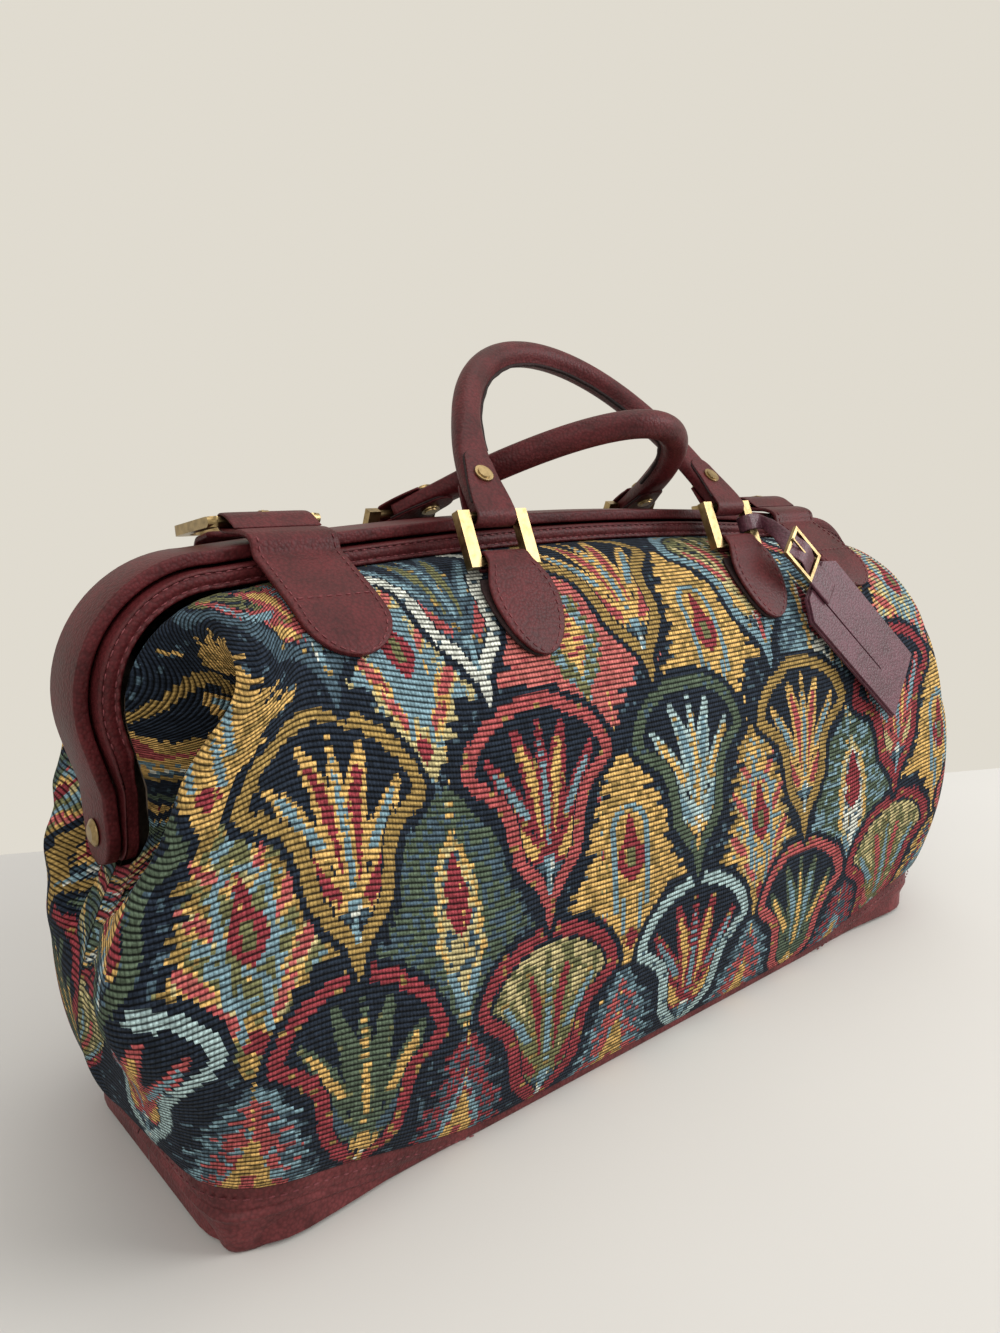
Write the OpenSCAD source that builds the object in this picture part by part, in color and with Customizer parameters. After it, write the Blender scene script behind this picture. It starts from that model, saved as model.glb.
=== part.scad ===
// Carpet bag: a tapestry body on a leather base, hung from two hinged frame halves,
// with rolled handles on brass rings, two buckled closing straps and a luggage tag.
// X runs along the bag, -Y is its front, +Z is up, and the origin is under the middle of the base.

/* [Base] */
// Length of the base's underside
base_len = 438; // [400:1:460]
// Depth of the base's underside, front to back
base_depth = 134; // [110:1:160]
// Radius of the base's corners, seen from above
base_corner_r = 22; // [14:1:40]
// Thickness of the leather under the bag
base_floor = 2.4; // [1.6:0.1:4]
// Thickness of the leather round the foot of the bag
base_wall = 3; // [2:0.1:4]
// Height of the leather along the middle of the front and back
base_lip = 4; // [3.5:0.1:8]
// Height of the leather round the corners and ends
base_rise = 26; // [16:1:40]
// How far the corners' leather leans out at its top
base_flare = 6; // [2:0.5:12]
// Thickness of the stiffening board on the base
board_t = 3; // [2:0.1:5]

/* [Fabric body] */
// Thickness of the lined tapestry
fabric_t = 3; // [2:0.1:4]
// How far the front and back belly out
belly = 13; // [6:1:20]
// How far the two ends swell
end_swell = 6; // [0:1:12]
// Sideways sag of the front left corner
front_left_sag = 21; // [4:1:26]
// Sideways sag of the other three corners
corner_sag = 3; // [0:1:12]
// Depth of the folds that tuck in beside the frame's legs
fold_depth = 42; // [20:1:50]

/* [Frame] */
// Length of the frame over its widest points
frame_len = 478; // [460:1:500]
// Height of the middle of the frame above the table
frame_top = 240; // [225:1:260]
// How much the middle of the frame stands above its corners
frame_bow = 9; // [0:1:15]
// Outer radius of the frame's corners
frame_corner_r = 50; // [35:1:60]
// How far the hinged feet stand in from the frame's widest points
foot_draw = 8; // [4:0.5:14]
// Straight run of the legs above their rounded feet
leg_straight = 3; // [2:0.5:8]
// Width of the closed frame, front to back
frame_w = 32; // [28:1:40]
// How far each strip stops short of the frame's far face
nest_step = 6; // [4:0.5:8]
// Height of the hinge rivets
rivet_z = 135; // [125:1:145]
// Radius of the rounded feet of the legs
foot_r = 12; // [9:0.5:14]
// Thickness of one leather-covered frame strip
strip_t = 5; // [4:0.1:7]
// Running gap between the two nested strips
nest_gap = 1.2; // [1:0.1:2]
// Thickness of the steel bar in each strip
bar_t = 2; // [1.5:0.1:2.5]
// Drop of the sewn skirt below the inner strip
skirt_drop = 2.3; // [1:0.1:8]
// Height of the skirts' lower ends above the bend in the legs
skirt_clear = 4; // [2:0.5:12]
// Thickness of the skirt
skirt_t = 2.5; // [2:0.1:4]
// Radius of the hinge rivets' shanks
rivet_r = 2; // [1.5:0.1:3]

/* [Straps] */
// Distance of the closing straps from the middle
strap_x = 157; // [140:1:165]
// Width of the closing straps
strap_w = 36; // [28:1:42]
// Thickness of the strap leather
strap_t = 2.5; // [2:0.1:3.2]
// Height of the front straps' rounded tips
strap_tip_z = 194; // [180:1:204]
// Distance of the buckles' heel bars behind the middle
heel_y = 6; // [2:0.5:10]
// Length of each strap buckle, front to back
buckle_len = 30; // [26:1:36]
// Thickness of the buckles' brass rod
buckle_bar = 4; // [3:0.1:5]

/* [Handles] */
// Distance of the handle rings from the middle
ring_x = 76; // [66:1:84]
// Outer width of a handle ring
ring_w = 36; // [32:1:42]
// Width of a ring's flat side bars
ring_side_w = 6; // [4:0.5:7]
// Radius of the rings' top and bottom bars
ring_bar_r = 2; // [1.6:0.1:2.4]
// Distance of the rings' upper bars from the middle plane
ring_top_y = 32; // [30:1:38]
// Height of the rings' upper bars
ring_top_z = 240; // [236:1:246]
// How far the front handle's left side reaches up from its ring
front_lift_left = 107; // [80:1:120]
// How far the front handle's right side reaches up from its ring
front_lift_right = 94; // [80:1:120]
// How far the front handle's left side leans back from its ring
front_back_left = 87; // [60:1:100]
// How far the front handle's right side leans back from its ring
front_back_right = 102; // [70:1:110]
// How far the rear handle's left side reaches up from its ring
rear_lift_left = 48; // [40:1:60]
// How far the rear handle's right side reaches up from its ring
rear_lift_right = 52; // [40:1:64]
// How far the rear handle's left side leans forward from its ring
rear_fore_left = 80; // [60:1:90]
// How far the rear handle's right side leans forward from its ring
rear_fore_right = 130; // [100:1:140]
// Diameter of the rolled handles
handle_d = 12.5; // [10:0.5:15]
// Thickness of the leather loops on the rings
loop_t = 2.2; // [1.6:0.1:3]
// Height of the chapes' pointed tips
chape_tip_z = 186; // [176:1:196]
// Width of the chapes at their widest
chape_w = 34; // [28:1:40]
// Width of the chapes' necks at the rings
chape_neck_w = 21; // [16:1:22]
// Radius of the handle rivets' heads
handle_rivet_r = 4.2; // [3:0.1:5]

/* [Luggage tag] */
// Width of the tag
tag_w = 44; // [36:1:52]
// Length of the tag
tag_len = 86; // [70:1:92]
// Thickness of the tag
tag_t = 3; // [2:0.1:4]
// Distance of the tag's middle from the bag's middle
tag_x = 137; // [125:1:150]
// Height of the tag's middle
tag_z = 171; // [150:1:180]
// Height of the tag's back off the cloth at its middle
tag_lift = 3.3; // [2.8:0.1:5]
// Distance of the tag's buckle above the tag
tag_buckle_up = 17; // [14:0.5:24]
// How far the tag's strap laps over the tag
tag_lap = 12; // [8:0.5:20]
// Slant of the tag, seen from the front
tag_slant = 43; // [36:1:48]
// Width of the tag's strap
tag_strap_w = 14; // [11:0.5:16]

/* [Hidden] */
$fn = 48;

burgundy = "#5c2a32";
brass = "#c8aa5a";
steel = "#8b8d8f";
tapestry = "#4a4f55";
card = "#9a8468";

// Soft pieces sit this far off what carries them, and bands laid on the rounded cloth a little more
seat = 0.3;
band_seat = 0.65;
// Loose turning clearance of leather loops, and the closer one of the rivets
loop_gap = 0.3;
pin_gap = 0.05;

// Eased step from 0 at a to 1 at b, and a single hump from 0 to 1 and back between a and b
function ease(a, b, x) = let (t = min(1, max(0, (x - a)/(b - a)))) t*t*(3 - 2*t);
function hump(a, b, x) = sin(180*min(1, max(0, (x - a)/(b - a))));
function flip(p) = [-p[0], p[1], p[2]];
function reversed(list) = [for (i = [len(list) - 1 : -1 : 0]) list[i]];
function unit(v) = v/norm(v);
// Running length along a list of points, and one coordinate of it as a table from 0 to 1
function run(p) = [for (i = 0, s = 0; i < len(p); s = s + norm(p[min(i + 1, len(p) - 1)] - p[i]), i = i + 1) s];
function track(p, k) = let (s = run(p), whole = s[len(s) - 1]) [for (i = [0 : len(p) - 1]) [s[i]/whole, p[i][k]]];

// Outline of the frame, seen from the front, at an inset from its outer face
foot_x = frame_len/2 - foot_draw;
bend_z = rivet_z + foot_r + leg_straight;
corner_z = frame_top - frame_bow - frame_corner_r;
leg_lean = atan2(frame_len/2 - foot_x, corner_z - bend_z);
corner_x = frame_len/2 - frame_corner_r/cos(leg_lean);
foot_z = rivet_z - foot_r;
arc_steps = 10;
top_steps = 12;
function crown_z(x) = frame_top - frame_bow*pow(x/corner_x, 2);
function leg_half(inset) = [[foot_x - inset, foot_z - 1], [foot_x - inset, bend_z + inset*tan(leg_lean/2)]];
function arc_half(inset) = [for (i = [0 : arc_steps]) let (a = -leg_lean + (90 + leg_lean)*i/arc_steps)
    [corner_x + (frame_corner_r - inset)*cos(a), corner_z + (frame_corner_r - inset)*sin(a)]];
function top_half(inset) = [for (i = [1 : top_steps]) let (x = corner_x*(1 - i/top_steps)) [x, crown_z(x) - inset]];
function outline_half(inset) = concat(leg_half(inset), arc_half(inset), top_half(inset));
function outline(inset) = let (h = outline_half(inset))
    concat([for (p = h) [-p[0], p[1]]], [for (i = [len(h) - 2 : -1 : 0]) h[i]]);

module frame_band(inset, thick, y0, y1) {
    translate([0, y1, 0]) rotate([90, 0, 0]) linear_extrude(y1 - y0)
        polygon(concat(outline(inset), reversed(outline(inset + thick))));
}

// Side view of a frame half: full width above, drawn in to a round foot at the hinge
strip_back = frame_w/2 - nest_step;
module half_side(side, slack) {
    near = side*(frame_w/2 - slack);
    far = -side*(strip_back - slack);
    r = foot_r - slack;
    rotate([90, 0, 90]) translate([0, 0, -frame_len/2 - 1]) linear_extrude(frame_len + 2) {
        translate([0, rivet_z]) circle(r);
        polygon([[-r, rivet_z], [r, rivet_z], [max(near, far), bend_z + foot_r], [max(near, far), frame_top + 1],
            [min(near, far), frame_top + 1], [min(near, far), bend_z + foot_r]]);
    }
}

module hinge_bore(r) {
    translate([-frame_len/2 - 1, 0, rivet_z]) rotate([0, 90, 0]) cylinder(r = r, h = frame_len + 2);
}

// One leather-covered half: side -1 is the inner, front half and 1 the outer, rear half
inner_inset = strip_t + nest_gap;
bar_inset = (strip_t - bar_t)/2;
bar_fit = 0.1;
function half_inset(side) = side < 0 ? inner_inset : 0;
skirt_inset = inner_inset + strip_t + skirt_drop;
skirt_end_z = bend_z + skirt_clear;

module steel_bar(side, slack) {
    intersection() {
        frame_band(half_inset(side) + bar_inset - slack, bar_t + 2*slack, -frame_w/2, frame_w/2);
        half_side(side, bar_inset - slack);
    }
}

module frame_bar(side) {
    color(steel) difference() {
        steel_bar(side, 0);
        hinge_bore(rivet_r + pin_gap);
    }
}

module frame_cover(side) {
    face = side*frame_w/2;
    back = side*(frame_w/2 - skirt_t);
    color(burgundy) difference() {
        union() {
            intersection() {
                frame_band(half_inset(side), strip_t, -frame_w/2, frame_w/2);
                half_side(side, 0);
            }
            intersection() {
                frame_band(half_inset(side), skirt_inset - half_inset(side), min(face, back), max(face, back));
                translate([-frame_len/2, -frame_w/2, skirt_end_z]) cube([frame_len, frame_w, frame_top]);
            }
        }
        steel_bar(side, bar_fit);
        hinge_bore(rivet_r + pin_gap);
    }
}

// A hinge rivet clamps both feet of one end; its heads are low domes
module hinge_rivet(end) {
    head_r = 2.5*rivet_r;
    head_t = 0.9*rivet_r;
    inner_face = foot_x - inner_inset - strip_t - seat;
    outer_face = foot_x + seat;
    color(brass) translate([0, 0, rivet_z]) rotate([0, end*90, 0]) rotate_extrude()
        polygon([[0, inner_face - head_t], [0.6*head_r, inner_face - head_t], [head_r, inner_face - head_t/3],
            [head_r, inner_face], [rivet_r, inner_face], [rivet_r, outer_face], [head_r, outer_face],
            [head_r, outer_face + head_t/3], [0.6*head_r, outer_face + head_t], [0, outer_face + head_t]]);
}

// Foot of the bag: outline of the base from the middle of one end to the middle of the other
seam_gap = 0.3;
function foot_half(grow) = let (hl = base_len/2 + grow, hd = base_depth/2 + grow, r = base_corner_r + grow) concat(
    [for (i = [0 : 4]) [hl, -seam_gap - (hd - r - seam_gap)*i/4, 0]],
    [for (a = [15 : 15 : 90]) [hl - r + r*cos(a), -hd + r - r*sin(a), 0]],
    [for (i = [1 : 12]) [(hl - r)*(1 - i/12), -hd, 0]]);
function foot_path(grow) = let (h = foot_half(grow)) concat([for (p = h) flip(p)], reversed([for (i = [0 : len(h) - 2]) h[i]]));

// Mouth of the fabric: under the feet of the frame, up beside the legs and along below the skirt
mouth_inset = skirt_inset + seat;
mouth_y = -(frame_w/2 - skirt_t/2);
wrap_gap = 1.8;
wrap_r = foot_r + wrap_gap;
function mouth_half() = concat(
    [for (i = [0 : 6]) let (a = 270 - 15*i) [foot_x - inner_inset + (inner_inset - mouth_inset)*i/6,
        min(-seam_gap, wrap_r*cos(a)), rivet_z + wrap_r*sin(a)]],
    [for (p = concat([leg_half(mouth_inset)[1]], arc_half(mouth_inset), top_half(mouth_inset))) [p[0], mouth_y, p[1]]]);
function mouth_path() = let (h = mouth_half()) concat([for (p = h) flip(p)], reversed([for (i = [0 : len(h) - 2]) h[i]]));

// The corner ridge of the body runs from the base's corner to the end of the frame's corner arc
ridge_u = 0.76;
floor_track = [for (k = [0 : 1]) track(foot_path(0), k)];
rim_track = [for (k = [0 : 1]) track(foot_path(base_flare), k)];
mouth_track = [for (k = [0 : 2]) track(mouth_path(), k)];
foot_ridge = floor_track[0][7][0];
mouth_ridge = mouth_track[0][8 + arc_steps][0];
function along(u, ridge) = 0.5 + sign(u)*(abs(u) <= ridge_u ? (0.5 - ridge)*abs(u)/ridge_u
    : 0.5 - ridge + ridge*(abs(u) - ridge_u)/(1 - ridge_u));
rise_from = 0.24*base_len;
function hem_z(x) = base_lip + (base_rise - base_lip)*ease(rise_from, base_len/2 - base_corner_r/2, abs(x));
function edge_point(u, tracks) = [lookup(along(u, foot_ridge), tracks[0]), lookup(along(u, foot_ridge), tracks[1])];
function hem_point(u) = let (f = edge_point(u, floor_track), r = edge_point(u, rim_track), z = hem_z(f[0]),
    k = (z - base_lip)/(base_rise - base_lip)) [f[0] + (r[0] - f[0])*k, f[1] + (r[1] - f[1])*k, z];
function mouth_point(u) = [for (k = [0 : 2]) lookup(along(u, mouth_ridge), mouth_track[k])];

// A point of the front panel's outer face: u runs from end seam to end seam, v from hem to mouth
function panel_point(u, v, left_sag) = let (
    a = hem_point(u),
    b = mouth_point(u),
    end = min(1, max(0, (abs(u) - ridge_u)/(1 - ridge_u))),
    turn = 90*ease(ridge_u - 0.12, 1, abs(u)),
    shoulder = 1 - sqrt(max(0, 1 - pow(v, 6))),
    side = pow(v, 2.5),
    s = shoulder + (side - shoulder)*ease(0, 0.45, end),
    out = belly*sin(180*pow(v, 0.6)) + end_swell*ease(0, 0.6, end)*sin(180*pow(v, 1.3)),
    ridge = exp(-pow((abs(u) - ridge_u)/0.09, 2))*sin(180*v),
    sag = (u < 0 ? left_sag : corner_sag)*ridge,
    fold = fold_depth*pow(hump(0.1, 0.8, end), 1.2)*hump(0.62, 1, v))
    [a[0] + (b[0] - a[0])*s + sign(u)*(out*sin(turn) + sag - fold),
     a[1] + (b[1] - a[1])*s - out*cos(turn)*(abs(u) < 1 ? 1 : 0) - 0.24*belly*pow(ridge, 2),
     a[2] + (b[2] - a[2])*v];

// The panel as a closed wall between its outer face and one set a fabric's thickness inside it
panel_us = concat([for (i = [0 : 15]) -1 + (1 - ridge_u + 0.06)*i/16],
    [for (i = [0 : 31]) (ridge_u - 0.06)*(i/16 - 1)], [for (i = [0 : 16]) ridge_u - 0.06 + (1 - ridge_u + 0.06)*i/16]);
panel_vs = [for (j = [0 : 17]) sin(90*j/17)];
function facing(g, i, j) = let (
    du = g[min(i + 1, len(g) - 1)][j] - g[max(i - 1, 0)][j],
    dv = g[i][min(j + 1, len(g[0]) - 1)] - g[i][max(j - 1, 0)],
    n = cross(du, dv),
    level = i == 0 || i == len(g) - 1 ? [n[0], 0, n[2]] : n) unit(level);

module panel(side, left_sag) {
    outer = [for (u = panel_us) [for (v = panel_vs) panel_point(u, v, left_sag)]];
    nu = len(panel_us);
    nv = len(panel_vs);
    inner = [for (i = [0 : nu - 1]) [for (j = [0 : nv - 1]) outer[i][j] - fabric_t*facing(outer, i, j)]];
    points = [for (g = [outer, inner]) for (row = g) each row];
    function at(layer, i, j) = (layer*nu + i)*nv + j;
    function cell(layer, i, j) = [at(layer, i, j), at(layer, i, j + 1), at(layer, i + 1, j + 1), at(layer, i + 1, j)];
    function halves(q) = [[q[0], q[1], q[2]], [q[0], q[2], q[3]]];
    faces = [for (i = [0 : nu - 2]) for (j = [0 : nv - 2])
        each concat(halves(cell(0, i, j)), halves(reversed(cell(1, i, j))))];
    hems = [for (i = [0 : nu - 2]) each concat(
        halves([at(0, i, 0), at(0, i + 1, 0), at(1, i + 1, 0), at(1, i, 0)]),
        halves([at(0, i + 1, nv - 1), at(0, i, nv - 1), at(1, i, nv - 1), at(1, i + 1, nv - 1)]))];
    seams = [for (j = [0 : nv - 2]) each concat(
        halves([at(0, 0, j + 1), at(0, 0, j), at(1, 0, j), at(1, 0, j + 1)]),
        halves([at(0, nu - 1, j), at(0, nu - 1, j + 1), at(1, nu - 1, j + 1), at(1, nu - 1, j)]))];
    color(tapestry) mirror([0, side > 0 ? 1 : 0, 0]) polyhedron(points, concat(faces, hems, seams));
}

// Leather tray under the bag: a floor and a wall that rises round the corners
module leather_base() {
    us = [for (i = [0 : 60]) i/30 - 1];
    inside = [for (k = [0 : 1]) track(foot_path(-base_wall), k)];
    inside_rim = [for (k = [0 : 1]) track(foot_path(base_flare - base_wall), k)];
    front = [for (u = us) let (f = edge_point(u, floor_track), h = hem_point(u), e = edge_point(u, inside),
        g = edge_point(u, inside_rim), k = (h[2] - base_lip)/(base_rise - base_lip))
        [[f[0], f[1], 0], [h[0], h[1], h[2] - seat], [e[0] + (g[0] - e[0])*k, e[1] + (g[1] - e[1])*k, h[2] - seat],
         [e[0], e[1], 0]]];
    loop = concat(front, [for (i = [len(front) - 1 : -1 : 0]) [for (p = front[i]) [p[0], -p[1], p[2]]]]);
    n = len(loop);
    faces = [for (i = [0 : n - 1]) for (k = [0 : 3]) let (a = i*4 + k, b = i*4 + (k + 1)%4,
        c = ((i + 1)%n)*4 + (k + 1)%4, d = ((i + 1)%n)*4 + k) each [[a, b, c], [a, c, d]]];
    color(burgundy) {
        polyhedron([for (row = loop) each row], faces);
        round_slab(base_len - base_wall, base_depth - base_wall, base_corner_r - base_wall/2, base_floor);
    }
}

module round_slab(l, d, r, h) {
    linear_extrude(h) {
        square([l - 2*r, d], center = true);
        square([l, d - 2*r], center = true);
        for (x = [-1, 1], y = [-1, 1]) translate([x*(l/2 - r), y*(d/2 - r)]) circle(r);
    }
}

module base_board() {
    inset = base_wall + 1;
    color(card) translate([0, 0, base_floor])
        round_slab(base_len - 2*inset, base_depth - 2*inset, base_corner_r - inset, board_t);
}

// Outer face of the front panel at a distance along the bag, as [y, z], and the way that face looks
function panel_u(x, v) = let (s = 1 - sqrt(max(0, 1 - pow(v, 6))), hem_x = abs(hem_point(-ridge_u)[0]),
    top_x = abs(mouth_point(-ridge_u)[0])) x*ridge_u/(hem_x + (top_x - hem_x)*s);
function face_at(x, v) = let (p = panel_point(panel_u(x, v), v, front_left_sag)) [p[1], p[2]];
function level_v(x, z) = let (lo = hem_z(x), hi = crown_z(x) - mouth_inset) (z - lo)/(hi - lo);
function look_at(x, v) = let (d = face_at(x, min(1, v + 0.01)) - face_at(x, v - 0.01)) unit([-d[1], d[0]]);

// A flat leather band that follows a path of [y, z] points across the bag, cut to a plan of
// [distance from its tip, width] pairs
function band_at(path, s) = [for (k = [0 : 1]) lookup(s/run(path)[len(path) - 1], track(path, k))];
function round_plan(w) = [for (a = [5 : 17 : 90]) [w/2*(1 - cos(a)), w*sin(a)]];
function pointed_plan(w, neck_w, long) = [[0, 0.08*w], [0.04*long, 0.3*w], [0.13*long, 0.58*w],
    [0.26*long, 0.8*w], [0.42*long, 0.95*w], [0.56*long, w], [0.76*long, 0.86*w], [long, neck_w]];
module band(x, path, thick, plan) {
    stops = concat([for (p = plan) p[0]], [for (s = run(path)) if (s > plan[len(plan) - 1][0] + 0.5) s]);
    n = len(stops);
    mids = [for (s = stops) band_at(path, s)];
    rows = [for (i = [0 : n - 1]) let (d = unit(mids[min(i + 1, n - 1)] - mids[max(i - 1, 0)]),
        out = [-d[1], d[0]]*thick/2, w = lookup(stops[i], plan)/2, a = mids[i] + out, b = mids[i] - out)
        [[x - w, a[0], a[1]], [x + w, a[0], a[1]], [x + w, b[0], b[1]], [x - w, b[0], b[1]]]];
    sides = [for (i = [0 : n - 2]) for (k = [0 : 3]) let (a = i*4 + k, b = i*4 + (k + 1)%4, c = a + 4, d = b + 4)
        each [[a, c, d], [a, d, b]]];
    last = (n - 1)*4;
    polyhedron([for (row = rows) each row],
        concat(sides, [[0, 1, 2], [0, 2, 3], [last + 2, last + 1, last], [last + 3, last + 2, last]]));
}

// Closing straps: sewn to the front, over the top of the frame, looped round the buckle's heel bar
strap_lift = 0.5;
heel_r = buckle_bar/2;
strap_loop_r = heel_r + loop_gap + strap_t;
crown = crown_z(strap_x - strap_w/2);
heel_z = crown + strap_lift + strap_loop_r;
buckle_drop = 8;
buckle_inner_w = strap_w + 3;
prong_w = 3.2;
prong_loop_r = heel_r + loop_gap + 1.4;
prong_slot = prong_w + 1.6;
function strap_path(x) = let (lift = band_seat + strap_t/2, v0 = level_v(x, strap_tip_z), face = frame_w/2) concat(
    [for (i = [0 : 8]) let (v = v0 + (0.965 - v0)*i/8) face_at(x, v) + lift*look_at(x, v)],
    [[-face - strap_t, crown - 0.45*skirt_inset], [-face - strap_t/2, crown - 0.1*skirt_inset],
     [-face + strap_t/2, crown + strap_lift], [-face + 2.4*strap_t, crown + strap_lift + strap_t/2],
     [heel_y, crown + strap_lift + strap_t/2]]);

module front_strap(end) {
    x = end*strap_x;
    color(burgundy) difference() {
        union() {
            band(x, strap_path(x), strap_t, round_plan(strap_w));
            translate([x - strap_w/2, heel_y, heel_z]) rotate([0, 90, 0]) cylinder(r = strap_loop_r, h = strap_w);
        }
        translate([x - strap_w, heel_y, heel_z]) rotate([0, 90, 0]) cylinder(r = heel_r + loop_gap, h = 2*strap_w);
        translate([x - prong_slot/2, heel_y - strap_loop_r - 1, heel_z - prong_loop_r - loop_gap])
            cube([prong_slot, 3*strap_loop_r, 3*strap_loop_r]);
    }
}

// Brass buckle: a round heel bar in the strap's loop and a flat frame that tips down to the rear
module buckle(end) {
    x = end*strap_x;
    outer_w = buckle_inner_w + 2*buckle_bar;
    color(brass) translate([x, heel_y, heel_z]) {
        rotate([0, 90, 0]) translate([0, 0, -outer_w/2]) cylinder(r = heel_r, h = outer_w);
        rotate([-buckle_drop, 0, 0]) translate([0, 0, -heel_r]) linear_extrude(2*heel_r) difference() {
            translate([0, buckle_len/2]) buckle_plan(outer_w, buckle_len + buckle_bar);
            translate([0, buckle_len/2]) buckle_plan(buckle_inner_w, buckle_len - buckle_bar);
            translate([-buckle_inner_w/2, -buckle_bar]) square([buckle_inner_w, 2*buckle_bar]);
        }
    }
}

module buckle_plan(w, l) {
    r = buckle_bar;
    square([w - 2*r, l], center = true);
    square([w, l - 2*r], center = true);
    for (x = [-1, 1], y = [-1, 1]) translate([x*(w/2 - r), y*(l/2 - r)]) circle(r);
}

// Buckle prong: a ring on the heel bar and a pin that lies on the far bar
module buckle_prong(end) {
    x = end*strap_x;
    lift = heel_r + loop_gap;
    color(brass) translate([x, heel_y, heel_z]) difference() {
        union() {
            rotate([0, 90, 0]) translate([0, 0, -prong_w/2]) cylinder(r = prong_loop_r, h = prong_w);
            rotate([-buckle_drop, 0, 0]) translate([0, 0, lift + prong_w/4]) rotate([-90, 0, 0])
                cylinder(r = prong_w/4, h = buckle_len + heel_r);
            rotate([-buckle_drop, 0, 0]) translate([-prong_w/4, 0, 0]) cube([prong_w/2, prong_loop_r - 0.1, lift + prong_w/4]);
        }
        rotate([0, 90, 0]) translate([0, 0, -prong_w]) cylinder(r = heel_r + loop_gap, h = 2*prong_w);
    }
}

// Rear tongues: sewn to the back, over the rear skirt and up through the buckles
tongue_w = strap_w - 6;
tongue_tip_z = strap_tip_z;
function tongue_path(x) = let (lift = band_seat + strap_t/2, v0 = level_v(x, tongue_tip_z), face = frame_w/2,
    far_y = heel_y + buckle_len*cos(buckle_drop), far_z = heel_z - buckle_len*sin(buckle_drop) - heel_r - seat - strap_t/2)
    concat([for (i = [0 : 8]) let (v = v0 + (0.94 - v0)*i/8, p = face_at(x, v) + lift*look_at(x, v)) [p[0], p[1]]],
    [[-far_y, far_z], [-(far_y - 0.35*buckle_len), far_z + 0.9*strap_t]]);

module rear_tongue(end) {
    color(burgundy) mirror([0, 1, 0]) band(end*strap_x, tongue_path(end*strap_x), strap_t, round_plan(tongue_w));
}

// Chapes: pointed leather tabs sewn to the body that hold the rings' lower bars
chape_v = 0.97;
chape_loop_r = ring_bar_r + loop_gap + loop_t;
ring_low = face_at(ring_x, chape_v) + (chape_loop_r + seat)*look_at(ring_x, chape_v);
function chape_path(x) = let (lift = band_seat + strap_t/2, v0 = level_v(x, chape_tip_z)) concat(
    [for (i = [0 : 8]) let (v = v0 + (chape_v - v0)*i/8) face_at(x, v) + lift*look_at(x, v)]);

module chape(side, end) {
    x = end*ring_x;
    path = chape_path(-ring_x);
    color(burgundy) mirror([0, side > 0 ? 1 : 0, 0]) difference() {
        union() {
            band(x, path, strap_t, pointed_plan(chape_w, chape_neck_w, run(path)[len(path) - 1]));
            translate([x - chape_neck_w/2, ring_low[0], ring_low[1]]) rotate([0, 90, 0])
                cylinder(r = chape_loop_r, h = chape_neck_w);
        }
        translate([x - chape_w, ring_low[0], ring_low[1]]) rotate([0, 90, 0])
            cylinder(r = ring_bar_r + loop_gap, h = 2*chape_w);
    }
}

// Handle rings: round bars above and below, flat bars at the sides
ring_top = [-ring_top_y, ring_top_z];
ring_run = ring_top - ring_low;
ring_lean = atan2(ring_run[0], ring_run[1]);
ring_h = norm(ring_run);
module handle_ring(side, end) {
    side_t = 2*ring_bar_r;
    color(brass) mirror([0, side > 0 ? 1 : 0, 0])
        translate([end*ring_x, ring_low[0], ring_low[1]]) rotate([-ring_lean, 0, 0]) {
            for (z = [0, ring_h]) translate([-ring_w/2 + ring_side_w/2, 0, z]) rotate([0, 90, 0])
                cylinder(r = ring_bar_r, h = ring_w - ring_side_w);
            for (s = [-1, 1]) translate([s*(ring_w - ring_side_w)/2, 0, ring_h/2])
                cube([ring_side_w, side_t, ring_h + 2*ring_bar_r + 2*seat], center = true);
        }
}

// Rolled handles: flat ends wrap the rings' upper bars and turn into a round roll along an arch
handle_loop_r = ring_bar_r + loop_gap + loop_t;
tab_room = 4.2;
tab_w = ring_w - 2*ring_side_w - 2*tab_room;
tab_t = 1.7*handle_loop_r;
arch_rings = 44;
roll_sides = 16;
tab_share = 0.17;
front_arch = [[-ring_x, -ring_top_y, ring_top_z],
    [-0.8*ring_x, front_back_left - ring_top_y, ring_top_z + front_lift_left],
    [1.18*ring_x, front_back_right - ring_top_y, ring_top_z + front_lift_right], [ring_x, -ring_top_y, ring_top_z]];
rear_arch = [[-ring_x, ring_top_y, ring_top_z],
    [-0.26*ring_x, ring_top_y - rear_fore_left, ring_top_z + rear_lift_left],
    [0.18*ring_x, ring_top_y - rear_fore_right, ring_top_z + rear_lift_right], [ring_x, ring_top_y, ring_top_z]];
function bezier(p, t) = p[0]*pow(1 - t, 3) + 3*p[1]*t*pow(1 - t, 2) + 3*p[2]*t*t*(1 - t) + p[3]*pow(t, 3);
function bezier_run(p, t) = unit((p[1] - p[0])*pow(1 - t, 2) + 2*(p[2] - p[1])*t*(1 - t) + (p[3] - p[2])*t*t);
function arch_plane(p) = unit(cross(p[3] - p[0], bezier(p, 0.5) - p[0]));
function roll_share(t) = ease(0.04, tab_share, min(t, 1 - t));
function rounded(c, k) = sign(c)*pow(abs(c), 0.45 + 0.55*k);
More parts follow.
